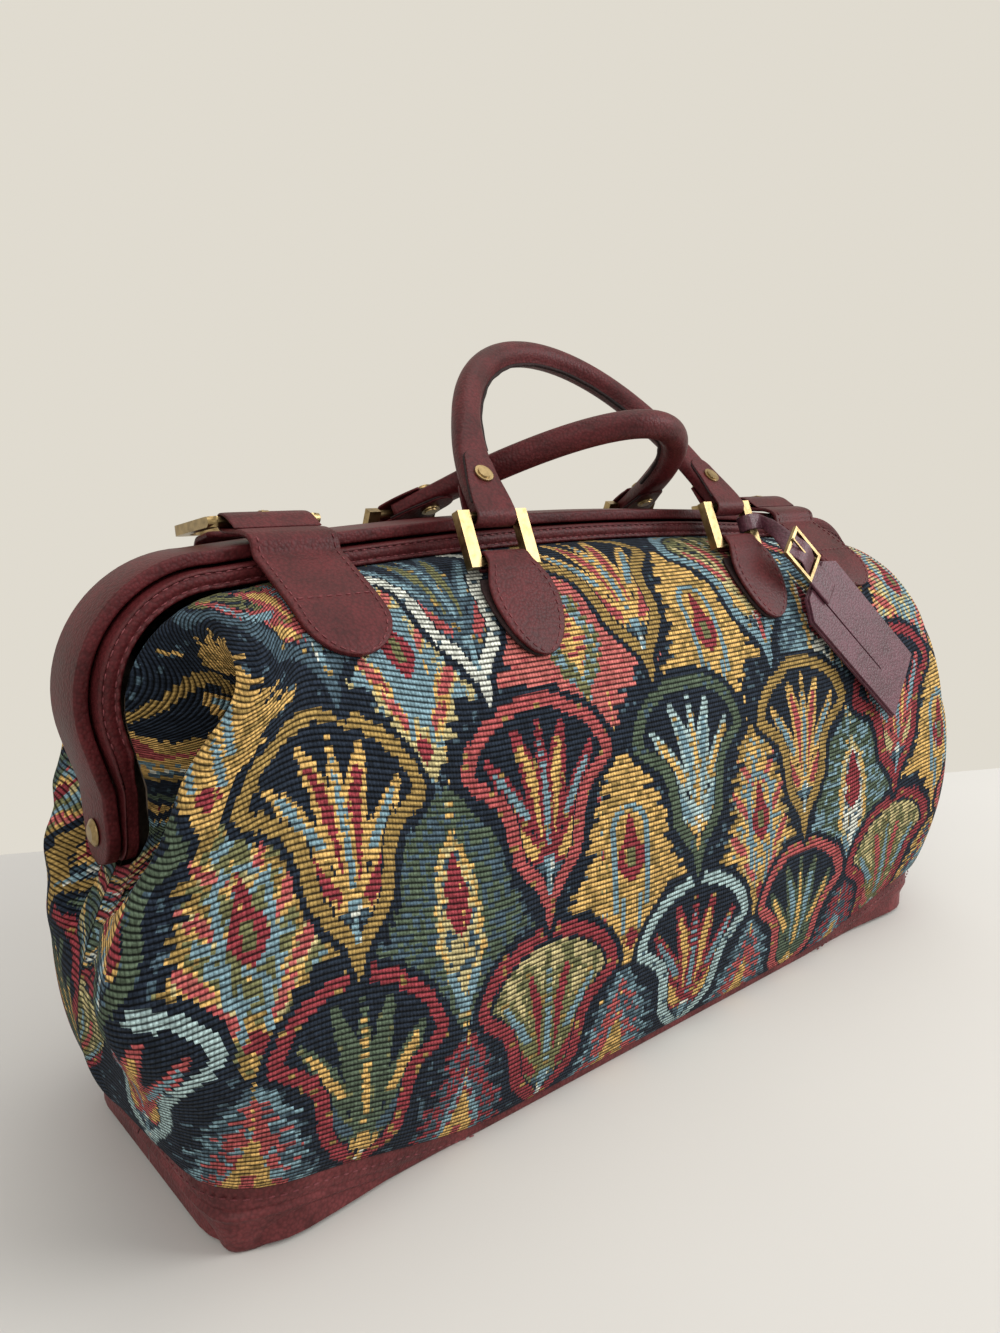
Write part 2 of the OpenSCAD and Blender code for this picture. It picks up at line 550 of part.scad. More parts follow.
module handle(arch) {
    plane = arch_plane(arch);
    rings = [for (i = [0 : arch_rings]) let (t = i/arch_rings, mid = bezier(arch, t), dir = bezier_run(arch, t),
        wide = unit(cross(plane, dir)), flat = cross(dir, wide), k = roll_share(t),
        w = tab_w/2 + (handle_d - tab_w)/2*k, h = tab_t/2 + (handle_d - tab_t)/2*k)
        [for (j = [0 : roll_sides - 1]) let (a = 360*j/roll_sides) mid + wide*w*rounded(cos(a), k) + flat*h*rounded(sin(a), k)]];
    n = roll_sides;
    sides = [for (i = [0 : arch_rings - 1]) for (j = [0 : n - 1]) let (a = i*n + j, b = i*n + (j + 1)%n)
        each [[a, b + n, b], [a, a + n, b + n]]];
    ends = [[for (j = [0 : n - 1]) j], reversed([for (j = [0 : n - 1]) arch_rings*n + j])];
    color(burgundy) difference() {
        union() {
            polyhedron([for (ring = rings) each ring], concat(sides, ends));
            for (p = [arch[0], arch[3]]) translate([p[0] - tab_w/2, p[1], p[2]]) rotate([0, 90, 0])
                cylinder(r = handle_loop_r, h = tab_w);
        }
        for (p = [arch[0], arch[3]]) translate([p[0] - tab_w, p[1], p[2]]) rotate([0, 90, 0])
            cylinder(r = ring_bar_r + loop_gap, h = 2*tab_w);
        for (t = [rivet_t, 1 - rivet_t]) at_arch(arch, t) cylinder(r = 0.4*handle_rivet_r + pin_gap, h = 3*handle_d, center = true);
    }
}

// Places a child on the arch with its Z across the handle's flat side
rivet_t = 0.045;
module at_arch(arch, t) {
    plane = arch_plane(arch);
    translate(bezier(arch, t)) rotate([0, acos(plane[2]), atan2(plane[1], plane[0])]) children();
}

module handle_rivets(arch) {
    k = roll_share(rivet_t);
    reach = tab_t/2 + (handle_d - tab_t)/2*k + 2*seat;
    color(brass) for (t = [rivet_t, 1 - rivet_t]) at_arch(arch, t) {
        cylinder(r = 0.4*handle_rivet_r, h = 2*reach, center = true);
        for (z = [-1, 1]) mirror([0, 0, z < 0 ? 1 : 0]) translate([0, 0, reach]) {
            cylinder(r = handle_rivet_r, h = 0.25*handle_rivet_r);
            cylinder(r = 0.7*handle_rivet_r, h = 0.4*handle_rivet_r);
        }
    }
}

// Luggage tag: lies on the front below the right ring and hangs from a strap looped round that ring
tag_v = level_v(tag_x, tag_z);
tag_out = look_at(tag_x, tag_v);
tag_tilt = atan2(tag_out[1], -tag_out[0]);
tag_up = [-sin(tag_slant), cos(tag_slant)*sin(tag_tilt), cos(tag_slant)*cos(tag_tilt)];
tag_across = [cos(tag_slant), sin(tag_slant)*sin(tag_tilt), sin(tag_slant)*cos(tag_tilt)];
tag_face = [0, -cos(tag_tilt), sin(tag_tilt)];
tag_mid = let (p = face_at(tag_x, tag_v)) [tag_x, p[0], p[1]] + (seat + tag_lift)*tag_face;
function tag_at(a, b, c) = tag_mid + a*tag_across + b*tag_up + c*tag_face;
module on_tag() {
    translate(tag_mid) rotate([-tag_tilt, 0, 0]) rotate([0, -tag_slant, 0]) rotate([90, 0, 0]) children();
}

module tag_body() {
    cut = 0.2*tag_w;
    color(burgundy) on_tag() translate([0, -tag_len/2, 0]) linear_extrude(tag_t)
        polygon([[-tag_w/2, 0], [tag_w/2, 0], [tag_w/2, tag_len - cut], [tag_w/2 - cut, tag_len],
            [cut - tag_w/2, tag_len], [-tag_w/2, tag_len - cut]]);
}

// A leather ribbon through rows of [middle, width vector]
module ribbon(rows, thick) {
    n = len(rows);
    points = [for (i = [0 : n - 1]) let (run = rows[min(i + 1, n - 1)][0] - rows[max(i - 1, 0)][0],
        half = rows[i][1]/2, out = thick/2*unit(cross(run, half)), m = rows[i][0])
        each [m - half + out, m + half + out, m + half - out, m - half - out]];
    sides = [for (i = [0 : n - 2]) for (k = [0 : 3]) let (a = i*4 + k, b = i*4 + (k + 1)%4)
        each [[a, b, b + 4], [a, b + 4, a + 4]]];
    last = (n - 1)*4;
    polyhedron(points, concat(sides, [[2, 1, 0], [3, 2, 0], [last, last + 1, last + 2], [last, last + 2, last + 3]]));
}

// The tag's strap: round the right ring's outer bar and down over the tag's head
tag_strap_t = 1.8;
tag_loop_w = 8;
ring_up = [0, sin(ring_lean), cos(ring_lean)];
ring_out = [0, -cos(ring_lean), sin(ring_lean)];
tag_bar = let (m = (ring_low + ring_top)/2) [ring_x + (ring_w - ring_side_w)/2, m[0], m[1]];
tag_buckle_y = tag_len/2 + tag_buckle_up;
module tag_strap() {
    away = ring_bar_r + 2*seat + tag_strap_t/2;
    turn = ring_side_w/2;
    rise = tag_t + seat + tag_strap_t/2;
    color(burgundy) ribbon([
        [tag_bar + [3*turn, 0, 0] - away*ring_out, tag_loop_w*ring_up],
        [tag_bar - [turn + 0.4, 0, 0] - away*ring_out, tag_loop_w*ring_up],
        [tag_bar - [turn + 0.9 + tag_strap_t/2, 0, 0] - 0.55*away*ring_out, tag_loop_w*ring_up],
        [tag_bar - [turn + 0.9 + tag_strap_t/2, 0, 0] + 0.55*away*ring_out, tag_loop_w*ring_up],
        [tag_bar - [turn + 0.4, 0, 0] + away*ring_out, tag_loop_w*ring_up],
        [tag_bar + [1.7*turn, 0, 0] + away*ring_out, tag_loop_w*ring_up],
        [0.6*(tag_bar + [2.3*turn, 0, 0] + 1.5*away*ring_out) + 0.4*tag_at(0, tag_buckle_y + 0.4*tag_buckle_len, rise),
            0.5*(tag_loop_w*ring_up + tag_strap_w*tag_across)],
        [tag_at(0, tag_buckle_y + 0.4*tag_buckle_len, rise), tag_strap_w*tag_across],
        [tag_at(0, tag_len/2 - tag_lap, rise), tag_strap_w*tag_across]], tag_strap_t);
}

// Small gold buckle on the tag's strap, with its prong
tag_rod = 1.8;
tag_buckle_len = 22;
tag_buckle_lift = tag_t + 2*seat + tag_strap_t;
module tag_buckle() {
    w = tag_strap_w + 2*tag_rod + 1;
    color(brass) on_tag() translate([0, tag_buckle_y, tag_buckle_lift]) {
        linear_extrude(tag_rod) difference() {
            square([w, tag_buckle_len], center = true);
            square([w - 2*tag_rod, tag_buckle_len - 2*tag_rod], center = true);
        }
        translate([-w/2 + tag_rod/2, 0, tag_rod/2]) rotate([0, 90, 0]) cylinder(r = tag_rod/2, h = w - tag_rod);
    }
}

module tag_buckle_prong() {
    loop_r = tag_rod/2 + pin_gap + 0.7;
    color(brass) on_tag() translate([0, tag_buckle_y, tag_buckle_lift + tag_rod/2]) difference() {
        union() {
            translate([-0.8, 0, 0]) rotate([0, 90, 0]) cylinder(r = loop_r, h = 1.6);
            translate([-0.5, 0, tag_rod/2 + loop_gap]) cube([1, tag_buckle_len/2, 0.9]);
        }
        translate([-3, 0, 0]) rotate([0, 90, 0]) cylinder(r = tag_rod/2 + pin_gap, h = 6);
        translate([-3, -3, -3 - tag_rod/2]) cube([6, 6, 3]);
    }
}

leather_base();
base_board();
panel(-1, front_left_sag);  // front_panel
panel(1, corner_sag);  // rear_panel
hinge_rivet(-1);  // left_hinge_rivet
hinge_rivet(1);  // right_hinge_rivet
frame_bar(-1);  // front_frame_bar
frame_cover(-1);  // front_frame_cover
frame_bar(1);  // rear_frame_bar
frame_cover(1);  // rear_frame_cover
front_strap(-1);  // front_left_strap
front_strap(1);  // front_right_strap
buckle(-1);  // left_buckle
buckle(1);  // right_buckle
buckle_prong(-1);  // left_buckle_prong
buckle_prong(1);  // right_buckle_prong
rear_tongue(-1);  // rear_left_tongue
rear_tongue(1);  // rear_right_tongue
chape(-1, -1);  // front_left_chape
chape(-1, 1);  // front_right_chape
chape(1, -1);  // rear_left_chape
chape(1, 1);  // rear_right_chape
handle_ring(-1, -1);  // front_left_ring
handle_ring(-1, 1);  // front_right_ring
handle_ring(1, -1);  // rear_left_ring
handle_ring(1, 1);  // rear_right_ring
handle(front_arch);  // front_handle
handle(rear_arch);  // rear_handle
handle_rivets(front_arch);  // front_handle_rivets
handle_rivets(rear_arch);  // rear_handle_rivets
tag_body();
tag_strap();
tag_buckle();
tag_buckle_prong();
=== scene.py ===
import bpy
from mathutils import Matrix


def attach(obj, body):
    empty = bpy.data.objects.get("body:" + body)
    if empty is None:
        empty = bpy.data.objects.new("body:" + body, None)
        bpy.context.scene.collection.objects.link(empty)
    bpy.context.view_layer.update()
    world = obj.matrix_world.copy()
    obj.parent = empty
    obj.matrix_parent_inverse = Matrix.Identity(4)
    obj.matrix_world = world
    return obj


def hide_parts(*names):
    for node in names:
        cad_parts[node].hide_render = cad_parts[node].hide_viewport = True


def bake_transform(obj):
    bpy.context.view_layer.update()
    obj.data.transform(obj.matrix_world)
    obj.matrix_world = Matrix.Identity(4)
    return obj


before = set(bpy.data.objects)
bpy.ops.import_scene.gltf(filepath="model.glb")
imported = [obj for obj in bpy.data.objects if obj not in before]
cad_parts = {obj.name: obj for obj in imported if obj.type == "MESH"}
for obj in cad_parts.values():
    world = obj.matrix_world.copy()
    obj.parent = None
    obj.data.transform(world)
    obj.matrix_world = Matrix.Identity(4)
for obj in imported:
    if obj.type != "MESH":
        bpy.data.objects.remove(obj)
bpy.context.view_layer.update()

import math

import bmesh
import bpy
import numpy as np
from mathutils import Matrix, Vector

# The room: a pale counter in front of a plain wall, lit by soft lamps from the left, the right and above.
# The camera stands low at the bag's left front corner, close enough for a wide view.
scene = bpy.context.scene
scene.view_settings.view_transform = "Standard"
film_height, focal_px, picture_px = 36.0, 1001.0, 1333.0
camera_data = bpy.data.cameras.new("bag_camera")
camera_data.sensor_fit = "VERTICAL"
camera_data.sensor_height = film_height
camera_data.lens = film_height*focal_px/picture_px
camera_data.clip_start = 0.01
camera = bpy.data.objects.new("bag_camera", camera_data)
scene.collection.objects.link(camera)
yaw, pitch, roll = math.radians(40.1), math.radians(10.37), math.radians(-0.73)
camera_place = (-0.3372, -0.3466, 0.2530)
camera.matrix_world = (Matrix.Translation(camera_place)
                       @ Matrix.Rotation(-yaw, 4, "Z")
                       @ Matrix.Rotation(math.pi/2 - pitch, 4, "X")
                       @ Matrix.Rotation(roll, 4, "Z"))
scene.camera = camera


def add_node(tree, kind, inputs=None, **settings):
    """Adds a shader node with its settings, and sets or links its inputs."""
    node = tree.nodes.new("ShaderNode" + kind)
    for name, value in settings.items():
        setattr(node, name, value)
    for socket, value in (inputs or {}).items():
        if isinstance(value, bpy.types.NodeSocket):
            tree.links.new(value, node.inputs[socket])
        else:
            node.inputs[socket].default_value = value
    return node


world = bpy.data.worlds.new("studio_air")
scene.world = world
world.use_nodes = True
air = world.node_tree
lighting_air = air.nodes["Background"]
lighting_air.inputs["Color"].default_value = (0.97, 0.97, 1.0, 1.0)
lighting_air.inputs["Strength"].default_value = 0.58
wall_tone = add_node(air, "Background", {"Color": (0.745, 0.708, 0.628, 1.0), "Strength": 1.0})
ray = add_node(air, "LightPath").outputs
direct = add_node(air, "Math", {0: ray["Is Camera Ray"], 1: ray["Is Glossy Ray"]}, operation="ADD")
seen = add_node(air, "Math", {0: direct.outputs["Value"], 1: ray["Is Transmission Ray"]},
                operation="ADD", use_clamp=True)
either_air = add_node(air, "MixShader", {"Fac": seen.outputs["Value"], 1: lighting_air.outputs["Background"],
                                         2: wall_tone.outputs["Background"]})
air.links.new(either_air.outputs["Shader"], air.nodes["World Output"].inputs["Surface"])


def soft_lamp(name, place, aim, size, power, tint):
    data = bpy.data.lights.new(name, "AREA")
    data.shape = "RECTANGLE"
    data.size, data.size_y = size
    data.energy = power
    data.color = tint
    lamp = bpy.data.objects.new(name, data)
    scene.collection.objects.link(lamp)
    lamp.location = place
    lamp.rotation_euler = (Vector(aim) - Vector(place)).to_track_quat("-Z", "Y").to_euler()


soft_lamp("window_light", (-1.3, -1.3, 1.5), (0, 0, 0.12), (1.4, 1.2), 15, (1.0, 0.96, 0.91))
soft_lamp("ceiling_light", (0.3, -0.3, 1.9), (0, 0, 0.1), (1.8, 1.4), 13, (1.0, 0.98, 0.95))
soft_lamp("right_light", (1.2, -1.2, 0.95), (0.15, 0, 0.12), (1.0, 1.0), 23, (0.98, 0.99, 1.0))


def finished(name, shape, smooth=True):
    """Turns a finished bmesh into an object of the scene."""
    data = bpy.data.meshes.new(name)
    shape.to_mesh(data)
    shape.free()
    piece = bpy.data.objects.new(name, data)
    scene.collection.objects.link(piece)
    if smooth:
        data.shade_smooth()
    return piece


wall_turn, wall_foot, floor_half = math.radians(-27.15), (-0.176, 0.394, 0), 3.0
floor_mesh = bmesh.new()
bmesh.ops.create_grid(floor_mesh, x_segments=1, y_segments=1, size=floor_half)
bmesh.ops.translate(floor_mesh, vec=(0, -floor_half, 0), verts=floor_mesh.verts)
bmesh.ops.rotate(floor_mesh, matrix=Matrix.Rotation(wall_turn, 3, "Z"), verts=floor_mesh.verts)
bmesh.ops.translate(floor_mesh, vec=wall_foot, verts=floor_mesh.verts)
studio_floor = finished("studio_floor", floor_mesh, False)


def new_finish(name, looks):
    """A new material with values for its shader, its node tree and the shader's inputs."""
    finish = bpy.data.materials.new(name)
    finish.use_nodes = True
    shader = finish.node_tree.nodes["Principled BSDF"]
    for socket, value in looks.items():
        shader.inputs[socket].default_value = value
    return finish, finish.node_tree, shader.inputs


def grain(tree, scale, detail=2.0):
    """Mottling in the piece's own space, from 0 to 1."""
    place = add_node(tree, "TexCoord").outputs["Object"]
    return add_node(tree, "TexNoise", {"Vector": place, "Scale": scale, "Detail": detail}).outputs["Fac"]


def two_tones(tree, mix, dark, light, low=0.0, high=1.0):
    """A colour that goes from a dark to a light tone between two levels of the mix."""
    ramp = add_node(tree, "ValToRGB", {"Fac": mix})
    for stop, level, tone in ((0, low, dark), (1, high, light)):
        ramp.color_ramp.elements[stop].position = level
        ramp.color_ramp.elements[stop].color = (*tone, 1)
    return ramp.outputs["Color"]


pale_counter, counter_tree, counter_shader = new_finish("pale_counter", {"Roughness": 0.8})
counter_tone = two_tones(counter_tree, grain(counter_tree, 3.0), (0.590, 0.572, 0.530), (0.655, 0.636, 0.590))
counter_tree.links.new(counter_tone, counter_shader["Base Color"])
studio_floor.data.materials.append(pale_counter)

# The tapestry body: two heavy woven panels, ribbed across, sewn together down the middle of each end.
# Their lower edges are sewn into the leather base and their mouths under the frame's skirts, and the
# cloth sags over the base's corners and tucks in beside the frame's legs. A brown cotton lining lies inside.
base_len, base_depth, base_corner_r = 0.438, 0.134, 0.022
base_lip, base_rise, base_flare = 0.004, 0.026, 0.006
belly, end_swell, fold_depth, front_sag, rear_sag = 0.013, 0.006, 0.042, 0.021, 0.003
frame_len, frame_top, frame_bow, frame_corner_r = 0.478, 0.240, 0.009, 0.050
frame_foot_len, frame_w, rivet_z, foot_r = 0.462, 0.032, 0.135, 0.012
strip_t, nest_gap, skirt_drop, skirt_t, seat = 0.005, 0.0012, 0.0023, 0.0025, 0.0003
foot_x = frame_foot_len/2
bend_z = rivet_z + foot_r + 0.003
corner_z = frame_top - frame_bow - frame_corner_r
leg_lean = math.atan2(frame_len/2 - foot_x, corner_z - bend_z)
corner_x = frame_len/2 - frame_corner_r/math.cos(leg_lean)
inner_inset = strip_t + nest_gap
skirt_inset = inner_inset + strip_t + skirt_drop
mouth_inset = skirt_inset + seat
mouth_y = -(frame_w/2 - skirt_t/2)
ridge_u = 0.76


def ease(a, b, x):
    """A soft step from 0 to 1 between a and b."""
    t = np.clip((x - a)/(b - a), 0, 1)
    return t*t*(3 - 2*t)


def hump(a, b, x):
    """A round rise and fall between a and b."""
    return np.sin(np.pi*np.clip((x - a)/(b - a), 0, 1))


def bell(x, wide):
    return np.exp(-(x/wide)**2)


def unit(ways):
    return ways/np.linalg.norm(ways, axis=-1, keepdims=True)


def crown_z(x):
    """Height of the frame's bowed top."""
    return frame_top - frame_bow*(x/corner_x)**2


def both_halves(half):
    """A whole line from its right half, which ends in the middle."""
    left = np.array(half, float)
    left[:, 0] *= -1
    return np.vstack([left, np.array(half, float)[-2::-1]])


def share_along(path):
    """Each point's share of the path's length, and that length."""
    runs = np.concatenate([[0], np.cumsum(np.linalg.norm(np.diff(path, axis=0), axis=1))])
    return runs/runs[-1], runs[-1]


def spaced(line, share, at):
    """The line's places at some shares of its length."""
    return np.stack([np.interp(at, share, column) for column in line.T], 1)


def foot_half(grow):
    """Right half of the base's front outline."""
    hl, hd, r = base_len/2 + grow, base_depth/2 + grow, base_corner_r + grow
    points = [(hl, -seat - (hd - r - seat)*i/4, 0) for i in range(5)]
    points += [(hl - r + r*math.cos(a), -hd + r - r*math.sin(a), 0) for a in np.radians(range(15, 91, 15))]
    return points + [((hl - r)*(1 - i/12), -hd, 0) for i in range(1, 13)]


def mouth_half():
    """Right half of the line where the cloth meets the frame, from below the hinge."""
    reach = foot_r + 0.0018
    points = []
    for i in range(7):
        a = math.radians(270 - 15*i)
        points.append((foot_x - inner_inset + (inner_inset - mouth_inset)*i/6, min(-seat, reach*math.cos(a)),
                       rivet_z + reach*math.sin(a)))
    points.append((foot_x - mouth_inset, mouth_y, bend_z + mouth_inset*math.tan(leg_lean/2)))
    for i in range(11):
        a = -leg_lean + (math.pi/2 + leg_lean)*i/10
        r = frame_corner_r - mouth_inset
        points.append((corner_x + r*math.cos(a), mouth_y, corner_z + r*math.sin(a)))
    tops = [corner_x*(1 - i/12) for i in range(1, 13)]
    return points + [(x, mouth_y, crown_z(x) - mouth_inset) for x in tops]


foot_line, rim_line = both_halves(foot_half(0)), both_halves(foot_half(base_flare))
mouth_line = both_halves(mouth_half())
foot_share, rim_share, mouth_share = (share_along(line)[0] for line in (foot_line, rim_line, mouth_line))
foot_ridge, mouth_ridge = foot_share[7], mouth_share[18]


def along(u, ridge):
    """Share along an edge at a place u, which runs round a panel from -1 to 1 with a ridge at each corner."""
    a = np.abs(u)
    return 0.5 + np.sign(u)*np.where(a <= ridge_u, (0.5 - ridge)*a/ridge_u,
                                     0.5 - ridge + ridge*(a - ridge_u)/(1 - ridge_u))


def hem_lift(x):
    """How far the base's rim has turned up at a distance along the bag, from 0 to 1."""
    return ease(0.24*base_len, base_len/2 - base_corner_r/2, np.abs(x))


def hem_point(u):
    """A point of the cloth's lower edge."""
    t = along(u, foot_ridge)
    fx, fy = (np.interp(t, foot_share, foot_line[:, k]) for k in (0, 1))
    rx, ry = (np.interp(t, rim_share, rim_line[:, k]) for k in (0, 1))
    lift = hem_lift(fx)
    return fx + (rx - fx)*lift, fy + (ry - fy)*lift, base_lip + (base_rise - base_lip)*lift


def shoulder(v):
    """How far the cloth has leant in from hem to mouth at a share of its height."""
    return 1 - np.sqrt(np.maximum(0, 1 - v**6))


def panel_point(u, v, left_sag):
    """A point of the smooth cloth: u runs round the panel from -1 to 1, v up it from 0 to 1."""
    u, v = np.broadcast_arrays(np.asarray(u, float), np.asarray(v, float))
    ax, ay, az = hem_point(u)
    t = along(u, mouth_ridge)
    bx, by, bz = (np.interp(t, mouth_share, mouth_line[:, k]) for k in range(3))
    off_ridge = np.abs(u) - ridge_u
    end = np.clip(off_ridge/(1 - ridge_u), 0, 1)
    turn = np.pi/2*ease(ridge_u - 0.12, 1, np.abs(u))
    s = shoulder(v)
    s = s + (v**2.5 - s)*ease(0, 0.45, end)
    out = belly*np.sin(np.pi*v**0.6) + end_swell*ease(0, 0.6, end)*np.sin(np.pi*v**1.3)
    near = bell(off_ridge, 0.09)
    ridge = near*np.sin(np.pi*v)
    slump = np.where(u < 0, left_sag, 0.0)
    tuck = bell(v - 0.885, 0.115)
    drop = 1.45*bell(v - 0.42, 0.23)*(1 - (1 - v)**5) - 0.62*tuck
    sag = np.where(slump > 0.01, slump*drop*near, np.where(u < 0, -0.003, 0.003)*ridge)
    deep = 0.75*slump/front_sag
    fold = fold_depth*(1 + deep)*hump(0.10 - 0.04*deep, 0.85, end)**1.2*hump(0.62 - 0.08*deep, 1, v)
    pinch = 0.5*slump*bell(off_ridge, 0.06)*tuck
    return np.stack([ax + (bx - ax)*s + np.sign(u)*(out*np.sin(turn) + sag - fold),
                     ay + (by - ay)*s - out*np.cos(turn)*(np.abs(u) < 1) - 0.24*belly*ridge**2 - pinch,
                     az + (bz - az)*v], -1)


def cloth_waves(u, v):
    """Shallow dents and pulls in the cloth, in metres outwards."""
    end = np.clip((np.abs(u) - ridge_u)/(1 - ridge_u), 0, 1)
    calm = np.sin(np.pi*v)*(1 - 0.8*ease(0.55, 0.75, v))
    wave = (0.0016*np.sin(9.0*u + 4.0*v) + 0.0011*np.sin(21.0*u - 9.0*v + 1.3))*calm
    pull = np.sin(95.0*(np.abs(u) - 0.30*v))*ease(0.62, 0.85, np.abs(u))*hump(0.35, 1.0, v)
    return (wave + 0.0012*pull*(1 - 0.5*end))*(1 - ease(0.9, 1, end))


def cloth_point(u, v, left_sag):
    """A point of the waved cloth and the way it faces there."""
    u, v = np.broadcast_arrays(np.asarray(u, float), np.asarray(v, float))
    step = 1e-3

    def smooth(a, b):
        return panel_point(np.clip(a, -1, 1), np.clip(b, 0, 1), left_sag)

    out = np.cross(smooth(u + step, v) - smooth(u - step, v), smooth(u, v + step) - smooth(u, v - step))
    out = out/np.maximum(np.linalg.norm(out, axis=-1, keepdims=True), 1e-12)
    out[np.abs(u) > 0.999, 1] = 0
    place = smooth(u, v) + out*cloth_waves(u, v)[..., None]
    place[..., 1] = np.minimum(place[..., 1], -seat)
    return place, out


def grid_piece(name, columns, rows, place, welded=False):
    """A sheet of quads whose points are placed by their share across and up, both from 0 to 1."""
    sheet = bmesh.new()
    bmesh.ops.create_grid(sheet, x_segments=columns, y_segments=rows, size=1.0)
    flat = np.array([v.co[:2] for v in sheet.verts])*0.5 + 0.5
    for vert, spot in zip(sheet.verts, place(flat[:, 0], flat[:, 1])):
        vert.co = spot
    if welded:
        bmesh.ops.remove_doubles(sheet, verts=sheet.verts, dist=1e-6)
        bmesh.ops.recalc_face_normals(sheet, faces=sheet.faces)
    return finished(name, sheet), flat


navy, slate, teal = (0.018, 0.026, 0.040), (0.075, 0.120, 0.150), (0.21, 0.335, 0.38)
pale, cream = (0.40, 0.54, 0.53), (0.70, 0.72, 0.62)
gold, ochre, straw = (0.72, 0.45, 0.145), (0.38, 0.250, 0.080), (0.57, 0.48, 0.23)
brick, coral, crimson = (0.46, 0.100, 0.098), (0.56, 0.155, 0.135), (0.30, 0.048, 0.058)
olive, moss = (0.19, 0.190, 0.085), (0.095, 0.130, 0.085)
rib, warp_gap = 2.058, 1.5
pattern_left, pattern_right, pattern_repeat, rear_shift = -318.0, 284.0, 508.0, 43.0


def scatter(a, b):
    """A fixed scatter of shares from 0 to 1."""
    return np.modf(np.abs(np.sin(a*12.9898 + b*78.233)*43758.5453))[0]


def dye(dyes, where, first, second=None, share=0.0, speck=None):
    dyes[where] = first
    if second is not None:
        dyes[where & (speck < share)] = second


def petal(dx, up, points, half):
    """How far each place is off a petal's curved middle, in half widths, and its share along that middle."""
    a, b, c = (np.array(p, float) for p in points)
    off, reach = np.full(dx.shape, 9.0), np.zeros(dx.shape)
    for s in np.linspace(0.0, 1.0, 15):
        px, py = a*(1 - s)**2 + 2*b*s*(1 - s) + c*s*s
        wide = half*(0.30 + 0.70*math.sin(math.pi*min(1.0, 0.12 + 0.83*s)))
        here = np.hypot(dx - px, up - py)/wide
        reach = np.where(here < off, s, reach)
        off = np.minimum(here, off)
    return off, reach


def inside_of(line, dx, up):
    """Distance inside a closed outline, below 0 outside it."""
    far = np.full(dx.shape, 1e9)
    within = np.zeros(dx.shape, bool)
    for (ax, ay), (bx, by) in zip(line, line[1:] + line[:1]):
        lx, ly = bx - ax, by - ay
        t = np.clip(((dx - ax)*lx + (up - ay)*ly)/(lx*lx + ly*ly), 0, 1)
        far = np.minimum(far, np.hypot(dx - ax - t*lx, up - ay - t*ly))
        if ay != by:
            within ^= ((ay > up) != (by > up)) & (dx < lx*(up - ay)/ly + ax)
    return np.where(within, far, -far)


half_shield = [(0, -2), (2.4, 4), (3.2, 9), (8, 15), (14, 21), (18.5, 27), (20, 36), (21.5, 45), (24.5, 51),
               (31, 56), (38, 61), (39, 65), (36.5, 72), (32, 78.5), (25.5, 84), (16, 88.5), (6, 90.5)]
shield_line = half_shield + [(-x, y) for x, y in reversed(half_shield[1:])]
petals = [((8, 42), (16, 52), (26, 68), 4.2), ((3, 26), (16, 34), (22, 56), 5.4),
          ((2, 30), (3, 54), (12, 77), 5.2), ((0, 26), (0, 50), (0, 80), 3.8)]
shields = [
    (-352, -6, 0.95, crimson, navy, moss, (gold, teal, gold, gold)),
    (-264, 4, 0.95, pale, navy, brick, (teal, gold, gold, teal)),
    (-178, -9, 0.95, crimson, navy, moss, (gold, slate, moss, gold)),
    (-88, -9, 0.98, crimson, straw, olive, (teal, crimson, crimson, teal)),
    (0, -11, 0.98, pale, navy, crimson, (teal, gold, gold, teal)),
    (85, -16, 0.97, brick, navy, moss, (gold, moss, teal, gold)),
    (163, -20, 0.95, crimson, straw, olive, (teal, brick, brick, teal)),
    (244, -14, 0.97, brick, navy, moss, (gold, moss, teal, gold)),
    (-267, 76, 0.95, moss, navy, gold, (teal, crimson, crimson, teal)),
    (-179, 77, 0.95, ochre, navy, gold, (teal, crimson, crimson, teal)),
    (-87, 82, 0.99, brick, navy, crimson, (teal, gold, gold, teal)),
    (1, 79, 0.98, moss, navy, pale, (gold, teal, teal, gold)),
    (88, 76, 0.96, ochre, navy, gold, (teal, brick, brick, teal)),
    (166, 70, 0.92, crimson, navy, brick, (teal, straw, gold, teal)),
    (248, 78, 0.95, gold, navy, gold, (teal, brick, brick, teal)),
    (-172, 168, 0.95, slate, olive, brick, (teal, gold, gold, teal)),
    (-107, 172, 0.90, cream, navy, slate, (teal, brick, olive, teal)),
    (-18, 170, 0.95, ochre, navy, gold, (teal, brick, brick, teal)),
    (66, 166, 0.95, teal, olive, straw, (brick, gold, brick, teal)),
    (150, 166, 0.95, brick, navy, pale, (gold, teal, teal, gold)),
    (232, 170, 0.95, cream, navy, brick, (teal, gold, gold, teal)),
    (-262, 174, 0.95, ochre, navy, gold, (teal, brick, brick, teal))]
